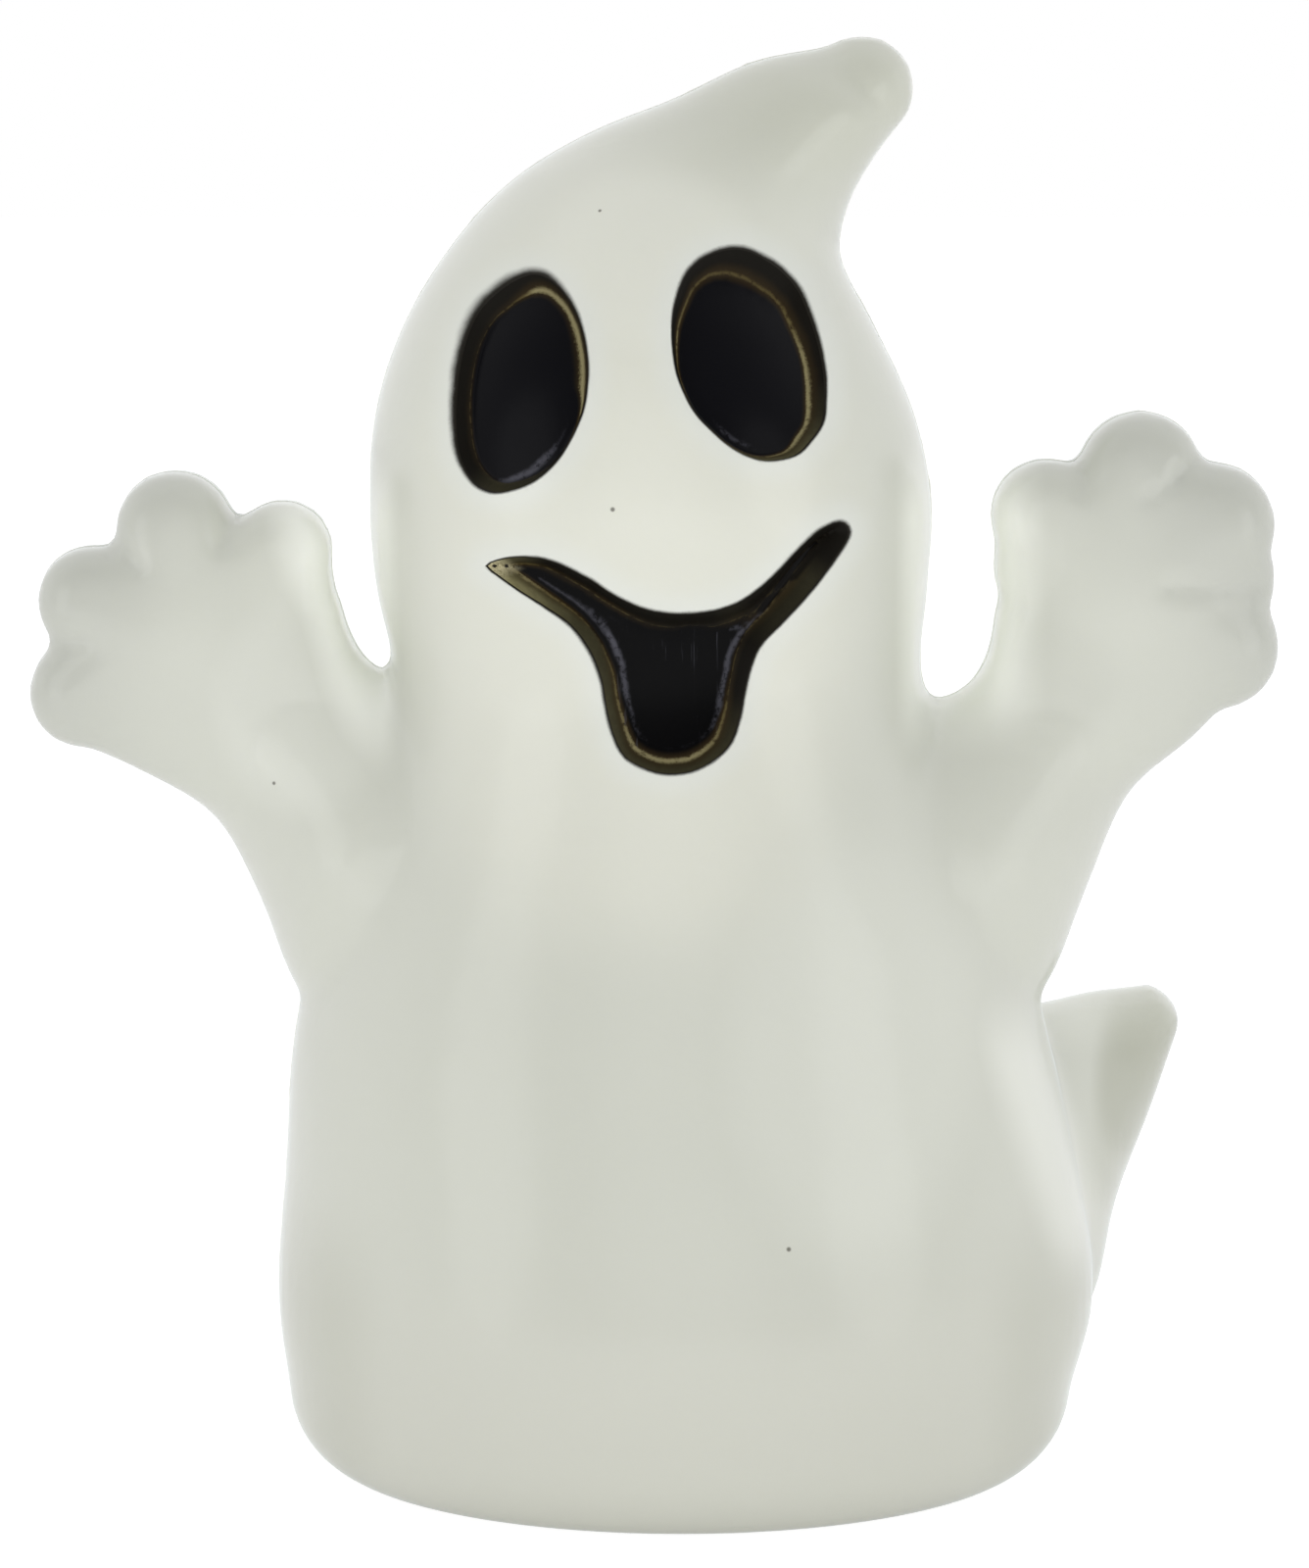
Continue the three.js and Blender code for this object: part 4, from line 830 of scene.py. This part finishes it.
enamel = {
    "levels": [0.1, 0.35, 0.7, 1.1, 1.5, 1.9, 2.3, 2.8],  # rings of points, in from the rim
    "gap": 0.04,  # how far its edge stands off the recess
    "cover": 0.26,  # how much more the rest does, and how far in that is reached
    "coverFrom": 0.7,
    "thickness": 0.3,
    "crease": 1.95,  # where wall and floor meet, in from the rim
    "floorFrom": (1.7, 2.1),
    "mouthTop": (176, 182),  # z between which the mouth ends and the eyes start
    "wornTip": (-33.5, 168.6),  # x and z of the mouth's rubbed left end
    "wornTo": -24,  # x
    # colours as the eye sees them, 0 to 255
    "wallTone": (22, 20, 16),
    "rubbedTone": (150, 144, 104),
    "eyeTone": (16, 16, 19),
    "mouthTone": (7, 7, 8),
    "brownTone": (52, 41, 22),
    "giltTone": (104, 93, 58),
    "paleGiltTone": (142, 134, 98),
    # painted reflection: the tone of the glints on the floor
    "paintedGlintTone": (80, 80, 88),
    "tipTone": (212, 204, 168),
    # degrees round the middle and width in millimetres: the thin gold-brown paint in the crease
    "gold": {
        "leftEye": [(0, 1.3), (45, 1.3), (75, 0.75), (100, 0.25), (130, 0.12), (170, 0.15), (200, 0.2),
                    (240, 0.14), (262, 0.08), (290, 0.04), (325, 0.25), (345, 0.85), (360, 1.3)],
        "rightEye": [(0, 0.55), (30, 0.38), (60, 0.3), (140, 0.3), (170, 0.45), (200, 0.32), (225, 0.1),
                     (262, 0.22), (300, 0.6), (345, 0.6), (360, 0.55)],
        "mouth": [(0, 0.25), (8, 0.32), (16, 0.3), (20, 0.06), (45, 0.06), (70, 0.08), (110, 0.1),
                  (148, 0.14), (157, 0.35), (163, 0.7), (170, 0.4), (190, 0.14), (212, 0.3), (235, 0.42),
                  (255, 0.6), (280, 0.6), (300, 0.4), (320, 0.2), (345, 0.12), (360, 0.25)],
    },
    # the same: the strength of the painted reflection on the scratched floor, and how far in from the rim
    # it runs
    "shine": {
        "leftEye": [(0, 0), (255, 0), (266, 0.9), (284, 0.9), (300, 0.5), (315, 0.1), (330, 0), (360, 0)],
        "rightEye": [(0, 0), (236, 0), (250, 0.4), (262, 0.4), (275, 0), (360, 0)],
        "mouth": [(0, 0.6), (12, 0.6), (17, 0.3), (20, 0), (150, 0), (160, 0.6), (172, 0.9), (200, 0.9),
                  (225, 0.7), (242, 0.3), (262, 0), (290, 0.1), (310, 0.6), (335, 0.7), (360, 0.6)],
    },
    "paintedGlintAt": {"leftEye": 1.7, "rightEye": 1.3, "mouth": 4},
    # the same: how far the black is rubbed brown on the wall
    "rubbed": {
        "leftEye": [(0, 0), (240, 0), (258, 0.1), (275, 0.07), (295, 0.02), (360, 0)],
        "rightEye": [(0, 0), (240, 0), (262, 0.25), (280, 0.35), (300, 0.25), (320, 0.05), (340, 0),
                     (360, 0)],
        "mouth": [(0, 0.04), (15, 0.06), (20, 0), (152, 0), (157, 0.2), (162, 0.8), (166, 0.85), (172, 0.4),
                  (180, 0.16), (205, 0.13), (230, 0.15), (290, 0.12), (315, 0), (345, 0), (360, 0.04)],
    },
    # the same round the skin: the soft edge of the sprayed paint
    "spray": {
        "leftEye": [(0, 0.35), (40, 0.45), (75, 1.1), (105, 1.5), (150, 1.5), (190, 1.2), (225, 1),
                    (260, 0.4), (310, 0.3), (360, 0.35)],
        "rightEye": [(0, 0.6), (45, 0.8), (90, 0.8), (130, 0.7), (160, 0.3), (270, 0.3), (310, 0.35),
                     (360, 0.6)],
        "mouth": [(0, 0.45), (20, 0.5), (28, 0.6), (33, 0.7), (45, 0.55), (90, 0.55), (150, 0.6),
                  (158, 0.3), (166, 0.2), (172, 0.4), (185, 0.7), (270, 0.5), (360, 0.45)],
    },
}
farOff = 30  # a distance from the rims, in millimetres, that is beyond any paint; the seam has twice that


def setValues(piece, name, values):
    layer = piece.data.attributes.get(name) or piece.data.attributes.new(name, "FLOAT", "POINT")
    layer.data.foreach_set("value", values)


def frontSpots(piece):
    return [Vector((v.co.x - axisX, 0, v.co.z)) / mm for v in piece.data.vertices]


def filmDepth(distance):  # below the skin, just above the recess's own depth
    raised = min(1, max(0, (distance - enamel["levels"][0]) / enamel["coverFrom"]))
    return between(face["wall"], distance) - enamel["gap"] - enamel["cover"] * raised


def buildEnamel(name, node, rim, read):
    film = reliefMesh(name + "Enamel", rim, read, enamel["levels"], filmDepth)
    spots = frontSpots(film)
    bearings = [rim.bearing(spot) for spot in spots]
    for layer in ("gold", "shine", "rubbed"):
        setValues(film, layer, [between(enamel[layer][name], bearing) for bearing in bearings])
    setValues(film, "shineGap", [rim.inside(spot) - enamel["paintedGlintAt"][name] for spot in spots])
    finishWith(film, "SOLIDIFY", thickness=enamel["thickness"] * mm, offset=-1)
    shadeSmooth(film, 50)
    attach(film, "lamp")
    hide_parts(node)
    return film


def markSpray(skin, rims):  # tells the skin's paint how far it is from the nearest rim
    distances, widths = [], []
    lowest, highest = face["zone"]
    for vertex, spot in zip(skin.data.vertices, frontSpots(skin)):
        distance, width = -farOff, 1
        if vertex.co.y < face["front"] * mm and lowest < spot.z < highest:
            for name, rim in rims.items():
                found = rim.inside(spot)
                if found > distance:
                    distance, width = found, between(enamel["spray"][name], rim.bearing(spot))
        distances.append(distance)
        widths.append(width)
    setValues(skin, "rimDistance", distances)
    setValues(skin, "sprayWidth", widths)


seam = {
    "radius": 0.16,
    "roughness": 0.1,
    "calm": 0.35,  # how fast it comes back to its even height
    "lumps": 0.02,  # share of points with a lump
    "lump": (0.3, 1.1),
    "fade": 12,  # points
    "thinnest": 0.05,
    "lowest": 3,
    "tail": (40, 84),  # x and z of the corner past which it has faded out
}


def buildSeam(source):  # the fine ridge that the two halves of the mould leave
    editAll(source)
    cutPlane = {"plane_co": (0, 0, 0), "plane_no": (0, 1, 0)}
    bpy.ops.mesh.bisect(**cutPlane, clear_inner=True, clear_outer=True)
    shape = bmesh.from_edit_mesh(source.data)
    tailX, tailZ = (value * mm for value in seam["tail"])
    loose = [
        vertex for vertex in shape.verts
        if vertex.co.z < seam["lowest"] * mm or (vertex.co.x - axisX > tailX and vertex.co.z < tailZ)
    ]
    bmesh.ops.delete(shape, geom=loose, context="VERTS")
    bmesh.update_edit_mesh(source.data)
    bpy.ops.object.mode_set(mode="OBJECT")
    bpy.ops.object.convert(target="CURVE")
    line = bpy.context.object
    line.name = line.data.name = "mouldSeam"
    line.data.bevel_depth = seam["radius"] * mm
    line.data.bevel_resolution = 1
    line.data.use_fill_caps = True
    for spline in line.data.splines:
        last = len(spline.points) - 1
        swell = 1
        for i, point in enumerate(spline.points):
            swell += seam["calm"] * (1 - swell) + random.uniform(-seam["roughness"], seam["roughness"])
            if random.random() < seam["lumps"]:
                swell += random.uniform(*seam["lump"])
            ends = 1 if spline.use_cyclic_u else min(1, i / seam["fade"], (last - i) / seam["fade"])
            point.radius = max(seam["thinnest"], swell * ends)
    bpy.ops.object.convert(target="MESH")
    pickOnly(line)
    bpy.ops.object.shade_smooth()
    # this mark gives the seam painted light in the skin's paint
    setValues(line, "rimDistance", [-2 * farOff] * len(line.data.vertices))
    setValues(line, "sprayWidth", [1] * len(line.data.vertices))
    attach(line, "lamp")
    return line


# Colours as the eye sees them, 0 to 255
milky = {
    "body": (211, 213, 202),
    # painted light: the face and chest lighter
    "face": (222, 223, 211),
    # painted shade: the trunk darker towards the foot
    "foot": (209, 210, 199),
    # painted shade: the top of the head darker
    "tip": (202, 204, 191),
    # painted shade: the hands darker
    "hand": (196, 198, 189),
    # painted shade: the tail darker
    "tail": (198, 200, 187),
    # painted shade: on the foot's sides and in a patch on the tail
    "paintedHollowShade": (180, 182, 166),
    # painted light: the tone of the light strips and patches, and of the seam
    "bright": (247, 249, 240),
    # soft patches of painted light: x and z of the middle and how far they reach, in millimetres, and their
    # strength
    "paintedLightPatches": [(30, 86, 26, 42, 0.17), (-6, 222, 22, 18, 0.17), (-68, 142, 18, 22, 0.18)],
    # painted light: a soft glow on the skin round the recesses
    "halo": (226, 230, 226),
    "speck": (70, 66, 52),
    # x, y, z and radius in millimetres of the dust specks moulded in
    "specks": [(-14.5, -27.2, 230.3, 0.3), (-12.2, -45.1, 179.6, 0.4), (18.2, -62, 53.1, 0.4),
               (-72.8, -18, 128.4, 0.35)],
    "finish": {  # the same all over
        "Subsurface Weight": 0.12,
        "Subsurface Radius": (1, 1, 0.8),
        "Subsurface Scale": 0.003,
        "Coat Weight": 0.65,
        "Coat Roughness": 0.15,
        "Sheen Weight": 1.0,
        "Sheen Roughness": 0.17,
        "Sheen Tint": (0.93, 0.98, 1, 1),
    },
    "sprayTones": ((20, 18, 14), (34, 30, 22)),
}


def paintMilky():
    paint = Paint("milkyPlastic")
    place, x, z = paint.inMm(axisX)

    def near(atX, atZ, reachX, reachZ, inner=0.3):  # 1 at a place in the front view, falling off softly
        sideways, upwards = (x - atX) / reachX, (z - atZ) / reachZ
        squared = sideways * sideways + upwards * upwards
        return 1 - squared.rise(inner, 1)

    mottle = paint.noise(38, detail=4, roughness=0.55)
    # painted shade: the foot's darker tone below, the body's tone above
    aboveFootShade = (z + mottle * 14).rise(30, 70)
    # painted light: the face and chest lighter
    paintedFaceLight = (z + mottle * 12).rise(97, 126) * near(-9, 165, 46, 92)
    # painted shade: the hands darker
    leftHand = (-50 - x).rise(0, 20) * (1 - near(-64, 146, 50, 50, 0.05)) * z.rise(112, 132)
    rightHand = (x - 46).rise(0, 20) * (1 - near(60, 148, 45, 45, 0.05)) * z.rise(112, 132)
    # painted shade on the foot's sides
    footSideShade = x.size().rise(50, 64) * (1 - z.rise(34, 60))
    # painted shade: the tail darker
    tail = (x - z * 0.15).rise(62, 72) * (1 - z.rise(84, 92))
    # painted light in strips: along the tail, on its top, and on the trunk's sides above the arms
    paintedFlankLight = (1 - (x + z * 0.35 - 88).size().rise(1, 9)) * z.span(34, 50, 78, 94) * 0.5
    paintedTailTopLight = x.rise(60, 68) * z.span(73, 81, 84, 90) * 0.2
    leftGapLight = (x + z * 0.3).rise(-24, -14.5) * (1 - x.rise(-54, -49.5)) * z.span(128, 146, 172, 188)
    rightGapLight = x.span(37, 42, 55.5, 66) * z.span(132, 148, 175, 192)
    distance, width = paint.attribute("rimDistance"), paint.attribute("sprayWidth")
    # the seam is painted light
    onSeam = distance < -1.5 * farOff
    paintedLight = paintedFlankLight.larger(leftGapLight).larger(rightGapLight).larger(paintedTailTopLight).larger(onSeam)
    for atX, atZ, reachX, reachZ, strength in milky["paintedLightPatches"]:
        paintedLight = paintedLight.larger(near(atX, atZ, reachX, reachZ) * strength)
    layers = (
        (paintedFaceLight, "face"),
        (leftHand.larger(rightHand), "hand"),
        # painted shade: the head darker towards its tip
        ((z + x * 0.3).rise(231, 252), "tip"),
        (footSideShade * 0.35, "paintedHollowShade"),
        (tail, "tail"),
        # painted shade: a darker patch on the tail
        (near(86, 68, 12, 18) * 0.8, "paintedHollowShade"),
        (paintedLight, "bright"),
        # painted light: a soft glow round the recesses
        ((distance + 6).rise(0, 6) * 0.45, "halo"),
    )
    colour = paint.blend(aboveFootShade, tone(*milky["foot"]), tone(*milky["body"]))
    for share, name in layers:
        colour = paint.blend(share, colour, tone(*milky[name]))
    grain = paint.noise(5200, detail=2, roughness=0.7)
    drift = paint.noise(300, detail=2)
    edge = distance / width + (grain - 0.5) * 0.5 + (drift - 0.5) * 0.4
    for atX, atY, atZ, radius in milky["specks"]:
        gap = paint.node("VectorMath", {"operation": "DISTANCE"}, {0: place, 1: (atX, atY, atZ)}, "Value")
        covered = 1 - gap.rise(0.5 * radius, 1.4 * radius)
        colour = paint.blend(covered * 0.8, colour, tone(*milky["speck"]))
    peel = paint.noise(420, detail=3, roughness=0.6)
    fine = paint.noise(2600, detail=2, roughness=0.6)
    normal = paint.bump(fine, 0.25, 0.00005, paint.bump(peel, 0.35, 0.00012))
    plastic = paint.node("BsdfPrincipled", {}, {
        "Base Color": colour,
        "Roughness": 0.3 + mottle * 0.12,
        "Normal": normal,
        **milky["finish"],
    })
    sprayed = paint.node("BsdfPrincipled", {}, {
        "Base Color": paint.blend(grain, *(tone(*each) for each in milky["sprayTones"])),
        "Roughness": 0.5,
        "Specular IOR Level": 0.2,
    })
    return paint.finish(paint.node("MixShader", {}, {0: edge.rise(-1.3, 0), 1: plastic, 2: sprayed}))


def paintEnamel():
    paint = Paint("blackEnamel")
    distance, goldWidth, shine = (paint.attribute(name) for name in ("rimDistance", "gold", "shine"))
    drift = paint.noise(240, detail=3)
    grain = paint.noise(3600, detail=3, roughness=0.7)
    gaps = paint.noise(900, detail=3, roughness=0.65)
    crease = (distance - enamel["crease"] + (drift - 0.5) * 0.35).size()
    gold = 1 - (crease / goldWidth + (grain - 0.5) * 1.6).rise(0.1, 1)
    gold = gold * (goldWidth.rise(0.04, 0.6) * 0.75 + 0.15) * (gaps + goldWidth * 0.25).rise(0.4, 0.62)
    brown = 1 - (crease / (goldWidth + 0.3)).rise(0.3, 1.8)
    floor = distance.rise(*enamel["floorFrom"])
    x, z = paint.inMm(axisX)[1:]
    inMouth = 1 - z.rise(*enamel["mouthTop"])
    streaks = paint.noise(900, detail=4, roughness=0.6, stretch=(1, 1, 0.035))
    patches = paint.noise(70, detail=2, stretch=(1, 1, 0.5), at=(0.3, 0, 0.1))
    rubbed = (1 - floor) * paint.attribute("rubbed") * (gaps * 0.6 + 0.7)
    tones = {name: tone(*value) for name, value in enamel.items() if name.endswith("Tone")}
    colour = paint.blend(rubbed, tones["wallTone"], tones["rubbedTone"])
    colour = paint.blend(floor, colour, paint.blend(inMouth, tones["eyeTone"], tones["mouthTone"]))
    colour = paint.blend(brown * goldWidth.rise(0, 0.4) * 0.75, colour, tones["brownTone"])
    gilt = paint.blend(goldWidth.rise(0.3, 0.65), tones["giltTone"], tones["paleGiltTone"])
    colour = paint.blend(gold, colour, gilt)
    # painted reflection: glints in a band along the floor
    band = (paint.attribute("shineGap") + (drift - 0.5) * 1.2) / (shine * 0.6 + 0.4)
    band = 1 - band.size().rise(0.1, 1)
    paintedGlintShare = band * shine * floor * (gaps + shine * 0.2).rise(0.42, 0.7)
    # fine streaks: real scratches, coloured with the tone of the painted reflection
    wornAndGlinting = streaks.rise(0.6, 0.7) * patches.rise(0.5, 0.6) * floor * (1 - gold) * inMouth
    colour = paint.blend((wornAndGlinting * 0.4).larger(paintedGlintShare), colour, tones["paintedGlintTone"])
    fromTip = (x - enamel["wornTip"][0]) * 0.4 + (z - enamel["wornTip"][1]).size() * 0.55
    wornTip = (1 - fromTip.rise(0.3, 2.6)) * (grain + gaps * 0.5).rise(0.5, 0.85)
    wornTip = wornTip * (x < enamel["wornTo"])
    colour = paint.blend(wornTip, colour, tones["tipTone"])
    roughness = 0.45 - floor * 0.25 + wornAndGlinting * 0.2 + gold * 0.15
    scratched = paint.bump(streaks * floor, 0.3, 0.00006)
    return paint.surface({
        "Base Color": colour,
        "Roughness": roughness,
        "Normal": paint.bump(grain, 0.25, 0.00004, scratched),
        "Specular IOR Level": 0.07,
    })


# light and dark tone, lowest and highest roughness, scale and depth of the grain, more of the shader
plastics = {
    "base_plastic": ((229, 229, 221), (219, 219, 209), 0.4, 0.56, 2600, 0.05, {}),
    "switch_plastic": ((37, 37, 38), (26, 26, 27), 0.36, 0.55, 3400, 0.04, {}),
    "frosted_plastic": ((241, 240, 233), (233, 231, 222), 0.5, 0.7, 1800, 0.05,
                        {"Transmission Weight": 0.3}),
    "led_epoxy": ((244, 239, 214), (233, 222, 186), 0.08, 0.16, 500, 0.01, {"Transmission Weight": 0.5}),
    "resistor_ceramic": ((208, 186, 140), (194, 170, 124), 0.3, 0.45, 1500, 0.02, {}),
    "wire_red": ((180, 42, 40), (158, 30, 30), 0.32, 0.5, 1200, 0.03, {}),
    "wire_black": ((31, 31, 32), (22, 22, 23), 0.32, 0.5, 1200, 0.03, {}),
    "wire_white": ((219, 216, 208), (205, 201, 190), 0.32, 0.5, 1200, 0.03, {}),
}
metals = {  # bright and dull tone, lowest and highest roughness, scale of the scratches
    "screw_steel": ((184, 186, 188), (132, 133, 132), 0.2, 0.42, 900),
    "nickel_plate": ((206, 203, 195), (168, 162, 148), 0.16, 0.34, 1400),
}
# x of each painted ring in millimetres, and its tone
resistorRings = ((-4, (96, 52, 26)), (-3.2, (30, 26, 22)), (-2.4, (168, 50, 30)), (-1.3, (176, 148, 62)))
board = {"dark": (36, 96, 60), "light": (48, 112, 72), "track": (76, 146, 88)}
cellWrap = {
    "tones": ((56, 108, 95), (68, 122, 108)),
    "band": (196, 172, 108),
    "lines": (222, 222, 210),
    "bare": (186, 186, 182),
    "bareTo": 0.7,  # millimetres from the flat end
    "bandFrom": 33.5,
    "bandTo": 42.6,
    # the wrap's name, x of the cell's flat end in millimetres, and which way its button end is
    "battery_1": ("cellWrapOne", -15.2, 1),
    "battery_2": ("cellWrapTwo", 25, -1),
    "battery_3": ("cellWrapThree", -15.2, 1),
}


def camel(slot):
    first, *others = slot.split("_")
    return first + "".join(other.title() for other in others)


def paintPlastic(slot, light, dark, smooth, rough, grain, relief, more):
    paint = Paint(camel(slot))
    clouds = paint.noise(70, detail=4, roughness=0.6)
    rubbed = paint.noise(260, detail=5, roughness=0.7)
    texture = paint.noise(grain, detail=2, roughness=0.6)
    colour = paint.blend(clouds.rise(0.35, 0.65), tone(*light), tone(*dark))
    colour = paint.blend(rubbed.rise(0.6, 0.78) * 0.4, colour, tone(*dark))
    if slot == "resistor_ceramic":
        x = paint.inMm()[1]
        for at, shade in resistorRings:
            colour = paint.blend((x - at).size() < 0.22, colour, tone(*shade))
    return paint.surface({
        "Base Color": colour,
        "Roughness": texture.rise(0.3, 0.7) * (rough - smooth) + smooth - rubbed.rise(0.55, 0.75) * 0.06,
        "Normal": paint.bump(texture, 0.4, relief * mm),
        **more,
    })


def paintMetal(slot, bright, dull, smooth, rough, scale):
    paint = Paint(camel(slot))
    stains = paint.noise(180, detail=4, roughness=0.6)
    scratches = paint.noise(scale, detail=4, roughness=0.75, stretch=(1, 0.12, 0.4))
    colour = paint.blend(stains.rise(0.4, 0.7), tone(*bright), tone(*dull))
    return paint.surface({
        "Base Color": colour,
        "Metallic": 1 - stains.rise(0.62, 0.8) * 0.25,
        "Roughness": scratches.rise(0.35, 0.7) * (rough - smooth) + smooth,
        "Normal": paint.bump(scratches, 0.3, 0.02 * mm),
    })


def paintBoard():
    paint = Paint("boardLaminate")
    threads = {"Vector": paint.place, "Scale": 900, "Distortion": 1.5}
    weave = paint.node("TexWave", {"bands_direction": "X"}, threads, "Fac")
    spot = paint.node("Mapping", {}, {"Vector": paint.place, "Scale": (1, 1, 0.1)})
    runs = {"Vector": spot, "Scale": 95, "Distortion": 9, "Detail": 1}
    tracks = paint.node("TexWave", {"bands_direction": "Y"}, runs, "Fac")
    copper = tracks.rise(0.7, 0.78)
    colour = paint.blend(weave * 0.4, tone(*board["dark"]), tone(*board["light"]))
    colour = paint.blend(copper * 0.7, colour, tone(*board["track"]))
    return paint.surface({
        "Base Color": colour,
        "Roughness": 0.18 + weave * 0.12,
        "Normal": paint.bump(copper, 0.5, 0.03 * mm),
    })


def paintCell(name, start, way):
    paint = Paint(name)
    along = (paint.inMm()[1] - start) * way
    scuffs = paint.noise(700, detail=4, roughness=0.7, stretch=(0.2, 1, 1))
    bare = (along < cellWrap["bareTo"]).larger(along > cellWrap["bandTo"])
    band = (along > cellWrap["bandFrom"]) * (along < cellWrap["bandTo"])
    lines = ((along - 32.4).size() < 0.3).larger((along - 3).size() < 0.25)
    colour = paint.blend(scuffs.rise(0.3, 0.7), *(tone(*each) for each in cellWrap["tones"]))
    colour = paint.blend(band, colour, tone(*cellWrap["band"]))
    colour = paint.blend(lines * 0.9, colour, tone(*cellWrap["lines"]))
    colour = paint.blend(bare, colour, tone(*cellWrap["bare"]))
    return paint.surface({
        "Base Color": colour,
        "Metallic": bare.larger(0.55),
        "Roughness": 0.24 + scuffs.rise(0.55, 0.75) * 0.2,
        "Normal": paint.bump(scuffs, 0.2, 0.02 * mm),
    })


# nodes whose edges are rounded for the eye, with the rounding in millimetres
rounding = {
    "base_plate": 0.3, "battery_door": 0.3, "switch_body": 0.25, "switch_slider": 0.3, "timer_chip": 0.12,
    "led_board": 0.1, "door_screw": 0.1, **{f"base_screw_{number}": 0.1 for number in (1, 2, 3, 4)},
}


def roundEdges(node, width):
    original = nodes[node]
    body, slot = original["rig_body"], original.data.materials[0].name
    twin = copyOf(original, camel(node))
    for mark in list(twin.keys()):
        del twin[mark]
    twin.parent = None
    editAll(twin)
    bpy.ops.mesh.remove_doubles(threshold=1e-6)
    bpy.ops.mesh.dissolve_limited(angle_limit=math.radians(1))
    bpy.ops.object.mode_set(mode="OBJECT")
    limit = {"limit_method": "ANGLE", "angle_limit": math.radians(35)}
    finishWith(twin, "BEVEL", width=width * mm, segments=2, **limit)
    shadeSmooth(twin, 30)
    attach(twin, body)
    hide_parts(node)
    return twin, slot


def dressWorks():  # everything but the ghost: the base unit and what is in it
    paints = {slot: paintPlastic(slot, *values) for slot, values in plastics.items()}
    paints |= {slot: paintMetal(slot, *values) for slot, values in metals.items()}
    paints["board_laminate"] = paintBoard()
    cells = {node: paintCell(*cellWrap[node]) for node in ("battery_1", "battery_2", "battery_3")}
    rounded = [roundEdges(node, width) for node, width in rounding.items()]
    plain = [
        (nodes[node], nodes[node].data.materials[0].name)
        for node in sorted(nodes)
        if not nodes[node].hide_render and node not in cells
    ]
    for piece, slot in rounded + plain:
        piece.data.materials[0] = paints[slot]
    for node, material in cells.items():
        nodes[node].data.materials[0] = material


random.seed(31)
skin, read, rims, seamSource = buildGhost()
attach(skin, "lamp")
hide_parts("ghost_shell")
films = [buildEnamel(name, node, rims[name], read) for name, node in recesses.items()]
markSpray(skin, rims)
seamLine = buildSeam(seamSource)
print("enamel and seam")
milkyPaint, enamelPaint = paintMilky(), paintEnamel()
for piece in (skin, seamLine, *films):
    piece.data.materials.clear()
    piece.data.materials.append(enamelPaint if piece in films else milkyPaint)

dressWorks()
print("base unit dressed")

bpy.context.scene.view_settings.view_transform = "Standard"
